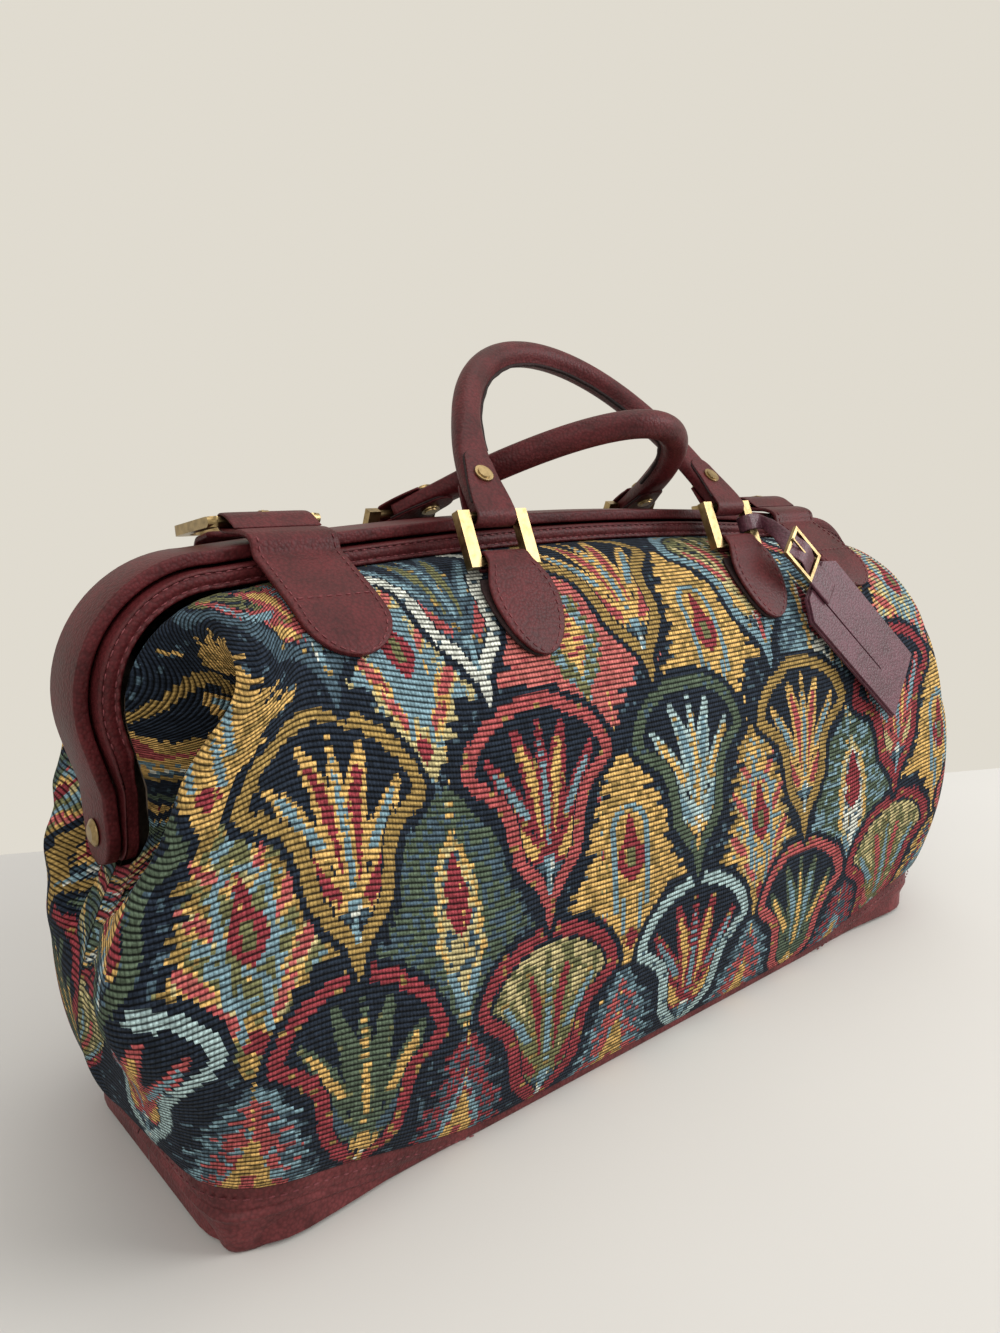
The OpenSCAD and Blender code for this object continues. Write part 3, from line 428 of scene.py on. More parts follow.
flames = [
    (-133, 98, 1.0, "leafy", moss, slate), (-43, 97, 1.0, "gilt", gold, ochre),
    (47, 93, 0.92, "spotted", ochre, gold), (128, 88, 1.0, "leafy", moss, teal),
    (-218, 102, 0.95, "spotted", ochre, olive), (208, 90, 1.0, "gilt", gold, ochre),
    (-308, 98, 0.95, "leafy", moss, slate), (272, 96, 0.9, "leafy", moss, slate),
    (-140, 190, 0.85, "spotted", straw, teal), (-58, 192, 1.35, "coral", coral, brick),
    (25, 186, 1.0, "gilt", gold, ochre), (110, 182, 1.0, "leafy", slate, teal),
    (-221, 188, 1.0, "gilt", gold, ochre), (194, 180, 1.05, "spotted", coral, straw),
    (-131, 4, 0.90, "ringed", crimson, gold), (-46, 3, 0.98, "ringed", teal, gold),
    (43, -1, 0.95, "ringed", teal, gold), (125, -8, 0.95, "ringed", crimson, gold),
    (-219, 6, 0.95, "ringed", teal, gold), (204, -4, 0.95, "ringed", gold, teal)]
flame_edge = [(-47, 0), (-40, 5), (-34, 10), (-27, 16), (-20, 18), (-16, 24), (-13, 36), (-10, 33), (-6, 27),
              (0, 24), (8, 22), (16, 20), (24, 17), (31, 13), (36, 12), (41, 5), (46, 0)]
flame_heart = [(-9, 0), (-6, 4), (-1, 7.5), (5, 7), (9, 3.5), (17, 2), (21, 0)]
slant_leaves = [(9, 25, 2.6, 7.0), (15, 10, 3.0, 8.0), (19, -8, 3.6, 8.0), (10, -22, 3.0, 6.5)]
leafy_edge = [(-47, 0), (-40, 5), (-32, 12), (-24, 22), (-15, 38), (-8, 33), (0, 29), (10, 26), (20, 23),
              (30, 17), (38, 9), (46, 0)]
leafy_core = [(-42, 0), (-40, 2), (-30, 5), (-22, 9), (-14, 11.5), (0, 10.5), (10, 9.5), (20, 7), (28, 0)]
leafy_heart = [(-9, 0), (-5, 4), (-1, 6.5), (3, 4), (7, 6), (12, 3.5), (20, 1.2), (22, 0)]
ringed_field = [(-40, 6), (-20, 12), (0, 13), (14, 9), (24, 4), (30, 0)]
ringed_core = [(-40, 5), (-16, 10), (0, 9), (10, 5), (20, 2.5), (24, 0)]
coral_field = [(-26, 0), (-14, 8), (0, 12), (12, 10), (26, 5), (34, 0)]
coral_core = [(-16, 0), (-6, 4), (2, 7), (14, 4), (22, 0)]


def half_width(fy, table):
    return np.interp(fy, *zip(*table), 0, 0)


def weave_flame(dyes, x, y, speck, comb, flame):
    """Weaves one flame with combed edges into the cloth."""
    mid, height, size, kind, rim, mix = flame
    fx, fy = np.abs(x - mid)/size, y - height
    tooth, rim_w = 7.5, 6.5

    def paint(where, first, second=None, share=0.0):
        dye(dyes, where, first, second, share, speck)

    def within(table, ragged=0.0):
        return fx < half_width(fy, table) + ragged*comb

    def rows(low, high):
        return (fy > low) & (fy < high)

    if kind == "leafy":
        edge = half_width(fy, leafy_edge) + 5.0*comb*np.clip((fx - 12)/14, 0, 1)
    else:
        saw = tooth*(np.modf((fy + 60.0)/tooth)[0]) + 3.5*comb
        edge = half_width(fy, flame_edge) - saw*np.clip(half_width(fy, flame_edge)/14, 0, 1) + 3.5
    edge = np.where(np.abs(fy) > 46, 0, edge)
    body = fx < edge
    if kind == "leafy":
        paint(body, rim, mix, 0.42)
        core = half_width(fy, leafy_core) + 2.5*comb
        paint(body & (fx < core), gold, straw, 0.4)
        paint(body & (fx < core - 3.2), cream if mix is teal else straw, slate, 0.35)
        paint(within(leafy_heart), crimson)
        paint((np.abs(fx - 0.4*(fy + 38)) < 2.2) & rows(-38, -22), teal)
    elif kind == "ringed":
        inner, inner_fleck, field = (brick, slate, brick) if rim is teal else (slate, crimson, teal)
        paint(body, rim, ochre if rim is gold else slate, 0.42)
        paint(body & (fx < edge - rim_w), inner, inner_fleck, 0.4)
        paint(within(ringed_field), field, rim, 0.3)
        paint(within(ringed_core, 2.0), mix, ochre, 0.25)
        paint((fx < 2.4) & rows(-12, 4), brick)
    elif kind == "coral":
        paint(body | ((fx < 30 - 0.72*np.abs(fy)) & (np.abs(fy) < 42)), rim, mix, 0.12)
        paint(within(coral_field, 3.0), olive, teal, 0.4)
        paint(within(coral_core, 2.0), gold, brick, 0.3)
    else:
        inner, inner_fleck = (rim, mix) if kind == "gilt" else (mix, teal)
        paint(body, rim, mix, 0.14)
        paint(body & (fx < edge - rim_w) & (fy > -24), inner, inner_fleck, 0.36)
        for sx, sy, wide, tall in slant_leaves if kind == "spotted" else ():
            leaf = np.hypot((fx - sx - 0.8*(fy - sy))/wide, (fy - sy)/tall)
            paint(body & (leaf < 1.5), gold, straw, 0.3)
            paint(body & (leaf < 0.95), brick, coral, 0.4)
        sides = (np.abs(fx - 9.0) < 1.5) & rows(-20, 14)
        bow = (np.abs(np.hypot(fx, fy - 14) - 9.0) < 1.4) & (fy >= 14)
        paint(body & (sides | bow), teal)
        paint(body & within(flame_heart), crimson)
        paint((fx < 2.4) & rows(-3, 6), olive)
        paint(body & (np.abs(fx - 4.8) < 1.4) & rows(-32, -14), teal)
        paint(fx < 5.0 - 0.9*np.abs(fy + 34), crimson)


def weave_shield(dyes, x, y, speck, shiver, shield):
    """Weaves one banded shield with its spray of petals into the cloth."""
    mid, tip, size, band, ground, plant, veins = shield
    near = (np.abs(x - mid) < 46*size) & (y > tip - 6) & (y < tip + 98)
    if not near.any():
        return
    dx, up = (x[near] - mid)/size + shiver[near], y[near] - tip
    inside = inside_of(shield_line, dx, up)
    part, flecks = dyes[near], speck[near]

    def paint(where, first, second=None, share=0.0):
        dye(part, where, first, second, share, flecks)

    paint(inside > -3.2, navy)
    paint(inside > 0, band, slate if band in (moss, pale, cream) else ochre, 0.06)
    paint(inside > 5.9, navy)
    paint(inside > 7.4, ground, olive if ground is straw else navy, 0.30)
    leaf_field = inside > 6.6
    for (root, bend, end, half), vein in zip(petals, veins):
        for hand in (1, -1):
            off, reach = petal(dx, up, [(hand*px, py) for px, py in (root, bend, end)], half)
            paint((off < 1) & leaf_field, plant, olive if plant is moss else ochre, 0.10)
            paint((off < 0.52) & (reach > 0.10) & (reach < 0.92) & leaf_field, vein)
    stem = np.abs(dx) < 1.6 + 1.4*(np.abs(up - 24) < 3)
    stem_dye = veins[0] if veins[0] is not plant else teal
    paint(stem & (up > 10) & (up < 28) & (inside > 4.5), stem_dye, cream, 0.2)
    bud = np.hypot((np.abs(dx) - 5.0)/3.4, (up - 22)/2.6) < 1
    paint(bud & leaf_field, veins[3] if veins[3] is not teal else slate)
    dyes[near] = part


def woven(x, y):
    """Dyes of the weft at places on the flat cloth, in millimetres from the middle of the hem."""
    ribs = np.floor(y/rib)
    x = np.where(x > pattern_right, x - pattern_repeat, np.where(x < pattern_left, x + pattern_repeat, x))
    x = x + 0.10*np.maximum(0.0, y - 178.0)*np.where(x > -150, 1.0, 0.3)
    speck = scatter(ribs, np.floor(x/2.7))
    comb = scatter(ribs, np.floor(x/90.0) + 3.0) - 0.5
    shiver = 0.9*(scatter(ribs, np.floor(x/60.0) + 9.0) - 0.5)
    dyes = np.empty((len(x), 3))
    dye(dyes, np.full(len(x), True), navy, slate, 0.10, speck)
    for flame in flames:
        weave_flame(dyes, x, y, speck, comb, flame)
    for shield in shields:
        weave_shield(dyes, x, y, speck, shiver, shield)
    heather = 0.72 + 0.56*scatter(ribs + 31.0, np.floor(x/2.2))
    return dyes*heather[:, None]


def rescaled(tree, value, source, target):
    """A value taken from one range to another."""
    ends = {"From Min": source[0], "From Max": source[1], "To Min": target[0], "To Max": target[1]}
    return add_node(tree, "MapRange", {"Value": value, **ends}).outputs["Result"]


def shaded(tree, colour, shade):
    """A colour multiplied by a factor from 0 to 1: painted shade, and on the cloth also the threads' own
    tone.
    """
    inputs = {"Factor": 1.0, "A": colour, "B": shade}
    return add_node(tree, "Mix", inputs, data_type="RGBA", blend_type="MULTIPLY").outputs["Result"]


def bumped(tree, height, strength, distance, invert=False):
    """The way that a surface faces when a pattern stands up on it."""
    inputs = {"Height": height, "Strength": strength, "Distance": distance}
    return add_node(tree, "Bump", inputs, invert=invert).outputs["Normal"]


def tapestry_cloth():
    cloth, tree, shader = new_finish("ribbed_tapestry", {
        "Roughness": 0.86, "Specular IOR Level": 0.06, "Sheen Weight": 0.02, "Sheen Roughness": 0.6})
    dyed = add_node(tree, "Attribute", attribute_name="dyed_thread").outputs["Color"]
    place = add_node(tree, "UVMap", uv_map="flat_cloth").outputs["UV"]
    waves_per_metre = 1000.0*math.pi/10.0
    ribs = add_node(tree, "TexWave", {"Vector": place, "Scale": waves_per_metre/rib, "Distortion": 0.35,
                                      "Detail": 1.0, "Detail Scale": 4.0}, bands_direction="Y").outputs["Fac"]
    ends = add_node(tree, "TexWave", {"Vector": place, "Scale": waves_per_metre/warp_gap, "Distortion": 1.2,
                                      "Detail Scale": 3.0}, bands_direction="X").outputs["Fac"]
    thread = add_node(tree, "TexNoise", {"Vector": place, "Scale": 900.0, "Detail": 2.0}).outputs["Fac"]
    # The grooves between the ribs and between the warp ends are darkened in the base colour: painted shade.
    # The noise fleck is the threads' own random tone, and shade multiplies both into the dyes.
    rib_groove_shade = rescaled(tree, ribs, (0.06, 0.60), (0.10, 1.0))
    fleck = rescaled(tree, thread, (0.25, 0.75), (0.62, 1.38))
    warp_groove_shade = rescaled(tree, ends, (0.0, 0.35), (0.62, 1.0))
    fleck_and_groove_shade = add_node(tree, "Math", {0: fleck, 1: warp_groove_shade}, operation="MULTIPLY").outputs["Value"]
    shade = add_node(tree, "Math", {0: rib_groove_shade, 1: fleck_and_groove_shade}, operation="MULTIPLY").outputs["Value"]
    tree.links.new(shaded(tree, dyed, shade), shader["Base Color"])
    height = add_node(tree, "Math", {0: ends, 1: 0.35, 2: ribs}, operation="MULTIPLY_ADD").outputs["Value"]
    tree.links.new(bumped(tree, height, 0.75, 0.0006), shader["Normal"])
    return cloth


ribbed_tapestry = tapestry_cloth()
panel_columns, panel_rows = 760, 123
even_v = np.linspace(0, 1, 2001)
middle_share, panel_height = share_along(panel_point(np.zeros(len(even_v)), even_v, rear_sag))


def tapestry_panel(name, side, left_sag):
    """One panel with the pattern woven in, and the length of its longest row."""
    def place(s, t):
        places = cloth_point(2*s - 1, np.interp(t, middle_share, even_v), left_sag)[0]
        places[:, 1] *= -side
        return places

    piece, flat = grid_piece(name, panel_columns, panel_rows, place)
    data = piece.data
    if side > 0:
        data.flip_normals()
    places = np.array([v.co for v in data.vertices])
    order = np.lexsort((flat[:, 1], np.round(flat[:, 0]*panel_columns).astype(int)))
    lines = places[order].reshape(panel_columns + 1, panel_rows + 1, 3)
    rises = np.concatenate([np.zeros((panel_columns + 1, 1)),
                            np.cumsum(np.linalg.norm(np.diff(lines, axis=1), axis=2), axis=1)], 1)
    runs = np.concatenate([np.zeros((1, panel_rows + 1)),
                           np.cumsum(np.linalg.norm(np.diff(lines, axis=0), axis=2), axis=0)], 0)
    runs = runs - runs[panel_columns//2]
    across, up = np.empty(len(places)), np.empty(len(places))
    across[order], up[order] = runs.ravel(), rises.ravel()
    uv = data.uv_layers.new(name="flat_cloth")
    corners = np.empty(len(data.loops), np.int32)
    data.loops.foreach_get("vertex_index", corners)
    uv.data.foreach_set("uv", np.stack([across, up], 1)[corners].astype(np.float32).ravel())
    quads = corners.reshape(-1, 4)
    mid_x, mid_y = across[quads].mean(1)*1000, up[quads].mean(1)*1000
    mid_y = (np.floor(mid_y/rib) + 0.5)*rib
    dyes = np.ones((len(quads), 4))
    dyes[:, :3] = woven(mid_x if side < 0 else rear_shift - mid_x, mid_y)
    dyed = data.color_attributes.new("dyed_thread", "FLOAT_COLOR", "CORNER")
    dyed.data.foreach_set("color", np.repeat(dyes, 4, axis=0).astype(np.float32).ravel())
    data.materials.append(ribbed_tapestry)
    return piece, (runs[-1] - runs[0]).max()


def lining_cotton():
    cotton, tree, shader = new_finish("lining_cotton", {"Roughness": 0.9, "Specular IOR Level": 0.15})
    slub = grain(tree, 260.0, 4.0)
    tone = two_tones(tree, slub, (0.100, 0.074, 0.054), (0.200, 0.155, 0.115), 0.3, 0.7)
    tree.links.new(tone, shader["Base Color"])
    tree.links.new(bumped(tree, slub, 0.3, 0.0003), shader["Normal"])
    return cotton


brown_cotton = lining_cotton()
lining_foot, lining_height, lining_gap = 0.02, 0.974, 0.0026
lining_columns, lining_rows = 190, 56


def lining(name, side, left_sag):
    def place(s, t):
        rise = np.interp(lining_foot + lining_height*t, middle_share, even_v)
        places, out = cloth_point(0.99*(2*s - 1), rise, left_sag)
        places = places - lining_gap*out
        places[:, 1] = np.minimum(places[:, 1], -0.0005)*-side
        return places

    piece = grid_piece(name, lining_columns, lining_rows, place)[0]
    if side < 0:
        piece.data.flip_normals()
    piece.data.materials.append(brown_cotton)
    return piece


for word, side, left_sag in (("front", -1, front_sag), ("rear", 1, rear_sag)):
    body = word + "_frame"
    cloth, widest = tapestry_panel(word + "_tapestry", side, left_sag)
    inner = lining(word + "_lining", side, left_sag)
    for piece in (cloth, inner):
        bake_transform(piece)
    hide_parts(word + "_panel")

# The leather: burgundy and finely pebbled with painted shade in its crevices, with a paler copy on the base
# that is painted light, and raw dark edges on the cut pieces.
# The base is a tray whose wall turns up round the corners and ends, with a stitched welt under its rim.
core_x, core_y, wall_t, foot_round = 0.197, 0.045, 0.003, 0.003
base_columns, base_rows = 480, 100


def pebbled_leather(name, dark, light, roughness, shine=0.2):
    hide, tree, shader = new_finish(name, {"Specular IOR Level": shine})
    mottle = grain(tree, 60.0, 6.0)
    tone = two_tones(tree, mottle, dark, light, 0.32, 0.70)
    place = add_node(tree, "TexCoord").outputs["Object"]
    pebble = add_node(tree, "TexVoronoi", {"Vector": place, "Scale": 780.0}).outputs["Distance"]
    # The crevices between the pebbles are darkened in the base colour: painted shade.
    crevice_shade = rescaled(tree, pebble, (0.25, 0.8), (1.0, 0.62))
    tree.links.new(shaded(tree, tone, crevice_shade), shader["Base Color"])
    gloss = rescaled(tree, mottle, (0.0, 1.0), (roughness - 0.08, roughness + 0.12))
    tree.links.new(gloss, shader["Roughness"])
    tree.links.new(bumped(tree, pebble, 0.45, 0.0004, True), shader["Normal"])
    return hide


burgundy_leather = pebbled_leather("burgundy_leather", (0.060, 0.0088, 0.0100), (0.114, 0.0176, 0.0200), 0.46)
raw_edge = pebbled_leather("raw_leather_edge", (0.010, 0.006, 0.006), (0.034, 0.016, 0.016), 0.70)
# The base's leather is a paler copy of the burgundy leather: painted light, standing in for light from the
# floor and the front.
painted_light_leather = pebbled_leather("base_leather_painted_light", (0.094, 0.020, 0.021), (0.190, 0.042, 0.044), 0.46)
burgundy_thread = pebbled_leather("burgundy_thread", (0.150, 0.034, 0.040), (0.260, 0.075, 0.080), 0.55)


def sewn_rows(name, rows, body, pitch=0.0040, length=0.0029, gauge=0.00034):
    """Rows of short stitches, each along a line of places on leather that faces the given way."""
    row_mesh = bmesh.new()
    for places, faces in rows:
        share, total = share_along(places)
        count = max(2, int(total/pitch))
        even = (np.arange(count) + 0.5)/count
        spots, looks, ahead = (spaced(line, share, at) for line, at in
                               ((places, even), (faces, even), (places, even + 0.3/count)))
        for spot, look, tip in zip(spots, looks, ahead):
            run = Vector(tip - spot).normalized()
            side = Vector(look).cross(run).normalized()
            turn = Matrix((run*length/2, side*gauge, run.cross(side)*gauge)).transposed().to_4x4()
            turn.translation = Vector(spot)
            bmesh.ops.create_uvsphere(row_mesh, u_segments=6, v_segments=4, radius=1.0, matrix=turn)
    bmesh.ops.recalc_face_normals(row_mesh, faces=row_mesh.faces)
    piece = finished(name, row_mesh)
    piece.data.materials.append(burgundy_thread)
    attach(piece, body)


def base_wall():
    """The base's leather: in order, a flat underside, a round foot, the swelling wall and its inner face."""
    under_share, outer_share = 0.12, 0.80

    def place(s, t):
        turn = 4*s - 1
        front = turn <= 1
        u = np.where(front, turn, 2 - turn)
        top_x, top_y, top_z = hem_point(u)
        top_z = top_z - seat
        foot_t = along(u, foot_ridge)
        foot_px, foot_py = (np.interp(foot_t, foot_share, foot_line[:, k]) for k in (0, 1))
        run_x = foot_px - 0.86*np.clip(foot_px, -core_x, core_x)
        run_y = foot_py - np.clip(foot_py, -core_y, core_y)
        run = np.maximum(np.hypot(run_x, run_y), 1e-9)
        ox, oy = run_x/run, run_y/run
        round_r = np.minimum(foot_round, 0.4*top_z)
        rise = np.clip((t - under_share)/(outer_share - under_share), 0, 1)
        z = round_r + (top_z - round_r)*rise
        tall = ease(0.008, 0.018, top_z)
        welt = 0.0009*bell(top_z - z - 0.0105, 0.0013) - 0.0006*bell(top_z - z - 0.0082, 0.0010)
        peak = np.where(front & (u < 0), 0.0062, 0.0035)*bell(np.abs(u) - ridge_u, 0.032)
        swell = tall*(0.0022*np.sin(np.pi*rise) + welt) + peak*(1 - rise)**1.2
        x = foot_px + (top_x - foot_px)*rise + ox*swell
        y = foot_py + (top_y - foot_py)*rise + oy*swell
        under = np.clip(t/under_share, 0, 1)
        a = np.pi/2*np.clip((under - 0.5)/0.5, 0, 1)
        low = t < under_share
        x = np.where(low, foot_px + ox*peak - ox*round_r*(1 - np.sin(a)), x)
        y = np.where(low, foot_py + oy*peak - oy*round_r*(1 - np.sin(a)), y)
        z = np.where(low, round_r*(1 - np.cos(a)), z)
        spread = np.where(under < 0.5, 2*under, 1.0)
        x, y = x*spread, y*spread
        inside = np.clip((t - outer_share)/(1 - outer_share), 0, 1)
        back = t > outer_share
        lid = np.clip(inside/0.35, 0, 1)
        drop = np.clip((inside - 0.35)/0.65, 0, 1)
        x = np.where(back, x - ox*wall_t*lid, x)
        y = np.where(back, y - oy*wall_t*lid, y)
        z = np.where(back, top_z + 0.0005*np.sin(np.pi*lid) - drop*(top_z - 0.0024), z)
        return np.stack([x, np.where(front, y, -y), z], 1)

    return grid_piece("base_leather", base_columns, base_rows, place, welded=True)[0]


base_leather = base_wall()
base_leather.data.materials.append(painted_light_leather)
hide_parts("leather_base")
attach(base_leather, "bag")
rim_rows = []
for end in (-1, 1):
    for side in (-1, 1):
        u = end*np.linspace(0.42, 0.985, 90)
        rim_x, rim_y, rim_z = hem_point(u)
        away = unit(np.stack([rim_x - np.clip(rim_x, -core_x, core_x),
                              -side*(rim_y - np.clip(rim_y, -core_y, core_y)), 0*u], 1))
        rim = np.stack([rim_x, -side*rim_y, rim_z - seat - 0.0032], 1) + 0.0011*away
        rim_rows.append((rim, away))
sewn_rows("base_stitches", rim_rows, "bag")

# The mouth frame: two nested hoops of steel strip wrapped in leather, hinged at their feet. Each has a
# sewn skirt that grips the cloth, with a rolled edge, two rows of stitches and a puckered lower lip.
roll_r, nest_step, pucker_gap, pucker_h = 0.0011, 0.006, 0.0062, 0.00035


def swept_piece(name, rings):
    """A closed piece through rings of points, with both ends closed."""
    count, sides = rings.shape[:2]
    middles = rings.mean(1)

    def place(s, t):
        row = np.rint(t*(count + 1)).astype(int)
        column = np.rint(s*sides).astype(int) % sides
        near = np.clip(row - 1, 0, count - 1)
        return np.where(((row == 0) | (row == count + 1))[:, None], middles[near], rings[near, column])

    return grid_piece(name, sides, count + 1, place, welded=True)[0]


def smoothed(line, times):
    """Evens out a line of points and keeps its ends."""
    for blur in range(times):
        line[1:-1] = (line[:-2] + line[1:-1] + line[2:])/3
    return line


def hoop_line(count):
    """Even points of the frame's outline seen from the front, the way out from it and the length so far."""
    half = [(foot_x, rivet_z - foot_r), (foot_x, bend_z)]
    half += [(corner_x + frame_corner_r*math.cos(a), corner_z + frame_corner_r*math.sin(a))
             for a in np.linspace(-leg_lean, math.pi/2, 24)]
    half += [(corner_x*(1 - i/24), crown_z(corner_x*(1 - i/24))) for i in range(1, 25)]
    line = both_halves(half)
    share, length = share_along(line)
    even = np.linspace(0, 1, count)
    points = spaced(line, share, even)
    run = smoothed(np.gradient(points, axis=0), 6)
    return points, unit(np.stack([-run[:, 1], run[:, 0]], 1)), even*length


def hoop_depth(z, reach):
    """Half depth of a hoop at a height: full above the bend, drawn in to a round foot at the hinge."""
    taper = foot_r + (reach - foot_r)*np.clip((z - rivet_z)/(bend_z + foot_r - rivet_z), 0, 1)
    return np.where(z < rivet_z, np.sqrt(np.maximum(0, foot_r**2 - (rivet_z - z)**2)), taper)


def hoop_leather(name, side):
    points, out, steps = hoop_line(420)
    z = points[:, 1]
    near, far = hoop_depth(z, frame_w/2), hoop_depth(z, frame_w/2 - nest_step)
    top = inner_inset if side < 0 else 0.0
    foot = top + strip_t
    grip = ease(bend_z + 0.001, bend_z + 0.012, z)
    lip = foot + (skirt_inset - foot)*grip
    pucker = pucker_h*np.sin(steps*2*math.pi/pucker_gap + 0.9*np.sin(steps*61.0))*grip
    corner = [(1 - math.cos(a), 1 - math.sin(a)) for a in np.radians([0, 30, 60, 90])]
    loop = [(near - roll_r*dy, top + roll_r*di) for dy, di in corner]
    loop += [(-(far - roll_r*dy), top + roll_r*di) for dy, di in corner[::-1]]
    loop += [(-(far - roll_r*dy), foot - roll_r*di) for dy, di in corner]
    back = near - skirt_t*grip - (near + far)*0.35*(1 - grip)
    loop += [(back - 0.0004, foot), (back, lip - 0.0010), (back + 0.0007, lip), (near - 0.0007, lip)]
    face = [(0.05, -0.0001, 0.8), (0.12, 0.0004, 1.2), (0.20, 0.0002, 0.9), (0.27, -0.0004, 0.2),
            (0.36, 0.0002, 0.0), (0.55, 0.0003, 0.0), (0.70, 0.0003, 0.0), (0.82, -0.0003, 0.0),
            (0.92, 0.0002, 0.0)]
    if side > 0:
        face = [(share, 0.4*push, 0.6*wave) for share, push, wave in face]
    for share, push, wave in face:
        loop.append((near + push*grip + wave*pucker, lip + (top - lip)*share))
    rings = np.stack([np.stack([points[:, 0] - out[:, 0]*inset, side*np.broadcast_to(y, z.shape),
                                points[:, 1] - out[:, 1]*inset], 1) for y, inset in loop], 1)
    hoop = swept_piece(name, rings)
    hoop.data.materials.append(burgundy_leather)
    held = z > bend_z + 0.014
    rows = []
    for share, push in ((0.27, -0.0002), (0.82, -0.0001)):
        inset = (lip + (top - lip)*share)[held]
        row = np.stack([points[held, 0] - out[held, 0]*inset, side*(near[held] + push),
                        points[held, 1] - out[held, 1]*inset], 1)
        rows.append((row, np.tile([0.0, side, 0.0], (len(row), 1))))
    return hoop, rows


for word, side in (("front", -1), ("rear", 1)):
    hoop, rows = hoop_leather(word + "_frame_leather", side)
    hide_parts(word + "_frame_cover")
    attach(hoop, word + "_frame")
    sewn_rows(word + "_frame_stitches", rows, word + "_frame")

# The closing straps: each front strap is sewn to the cloth at its rounded tip, passes over the frame and
# loops round its buckle's heel bar; a shorter tongue comes up from the back through the buckle.
strap_x, strap_w, strap_t, strap_tip_z = 0.157, 0.036, 0.0025, 0.194
heel_y, heel_r, buckle_len, buckle_drop = 0.006, 0.002, 0.030, math.radians(8)
strap_crown = crown_z(strap_x - strap_w/2)
strap_lift, on_cloth = 0.0005, 0.00065
small_stitch = {"pitch": 0.0036, "length": 0.0026, "gauge": 0.00028}
heel_z = strap_crown + strap_lift + heel_r + seat + strap_t


def cloth_face(x, z_from, v_to, count, lift):
    """Points up the front of the cloth at a distance along the bag, lifted off it, as y and z."""
    hem_x = np.abs(hem_point(np.array(ridge_u))[0])
    top_x = np.interp(mouth_ridge, mouth_share, np.abs(mouth_line[:, 0]))
    low = base_lip + (base_rise - base_lip)*hem_lift(x)
    v = np.linspace((z_from - low)/(crown_z(x) - mouth_inset - low), v_to, count)
    place, out = cloth_point(x*ridge_u/(hem_x + (top_x - hem_x)*shoulder(v)), v, front_sag)
    return (place + out*lift)[:, 1:]


def even_path(points, count):
    """A smooth run of evenly spaced points through a few given ones."""
    points = np.asarray(points, float)
    share, length = share_along(points)
    even = np.linspace(0, 1, count)
    return smoothed(spaced(points, share, even), 6), even*length


def blunt(wave, power):
    """A wave with squarer crests."""
    return np.sign(wave)*np.abs(wave)**power


def band_rings(mids, wides, widths, thicks, square=0.28, around=24):
    """Rings of a flat band with rounded edges along a path."""
    outs = unit(np.cross(wides, np.gradient(mids, axis=0)))
    turn = np.linspace(0, 2*math.pi, around, endpoint=False)
    across, through = blunt(np.cos(turn), square)/2, blunt(np.sin(turn), square)/2
    return (mids[:, None] + wides[:, None]*(widths[:, None]*across)[..., None]
            + outs[:, None]*(thicks[:, None]*through)[..., None])


def side_band(name, x, path, widths, thick, mirror=1):
    """A band of leather that stays at one distance along the bag and follows a path of y and z."""
    count = len(path)
    mids = np.column_stack([np.full(count, x), mirror*path[:, 0], path[:, 1]])
    wides = np.tile([1.0, 0.0, 0.0], (count, 1))
    band = swept_piece(name, band_rings(mids, wides, widths, np.broadcast_to(thick, count)))
    band.data.materials.append(burgundy_leather)
    return band


def edge_rows(x, path, widths, thick, mirror, last, inset):
    """Stitch lines inside both edges of a band, from its tip to a place along it, and the way they face."""
    kept = (np.arange(len(path)) < last) & (widths/2 > 1.15*inset)
    run = np.gradient(path, axis=0)[kept]
    out = unit(np.stack([-run[:, 1], run[:, 0]], 1))
    on = path[kept] + (np.broadcast_to(thick, len(path))[kept, None]/2 + 0.0001)*out
    faces = np.column_stack([np.zeros(len(on)), mirror*out[:, 0], out[:, 1]])
    return [(np.column_stack([x + hand*(widths[kept]/2 - inset), mirror*on[:, 0], on[:, 1]]), faces)
            for hand in (-1, 1)]


def round_tip(steps, width):
    """Widths along a band with a half-round tip at its start."""
    near = np.clip(1 - steps/(width/2), 0, 1)
    return width*np.sqrt(np.maximum(0.0025, 1 - near*near))


def closing_strap(name, x):
    """A front strap from its tip on the cloth, over the frame and round the buckle's heel bar."""
    face = cloth_face(x, strap_tip_z, 0.965, 24, on_cloth + strap_t/2)
    edge = -frame_w/2
    flat_z = strap_crown + strap_lift + strap_t/2
    over = [(edge - strap_t, strap_crown - 0.45*skirt_inset),
            (edge - strap_t*0.8, strap_crown - 0.1*skirt_inset),
            (edge + strap_t*0.2, strap_crown + 0.0006), (edge + 2.4*strap_t, flat_z), (heel_y, flat_z)]
    loop_r = heel_r + seat + 0.0007
    loop = [(heel_y + loop_r*math.sin(a), heel_z - loop_r*math.cos(a)) for a in np.linspace(0.2, math.pi, 12)]
    back = [(heel_y - 0.005, heel_z + loop_r - 0.0012), (heel_y - 0.012, heel_z - loop_r + 0.0008)]
    path, steps = even_path(list(face) + over + loop + back, 150)
    widths = round_tip(steps, strap_w)
    far = steps/steps[-1]
    thick = strap_t + (0.0013 - strap_t)*ease(0.70, 0.82, far) - 0.0006*ease(0.92, 1.0, far)
    last = int(np.argmax(path[:, 0] > edge))
    rows = edge_rows(x, path, widths, strap_t, 1, last, 0.0026)
    crossing = int(0.42*len(rows[0][0]))
    (left, looks), (right, _) = rows
    cross = left[crossing] + (right[crossing] - left[crossing])*np.linspace(0, 1, 12)[:, None]
    rows.append((cross, np.tile(looks[crossing], (12, 1))))
    sewn_rows(name + "_stitches", rows, "front_frame", **small_stitch)
    return side_band(name, x, path, widths, thick)


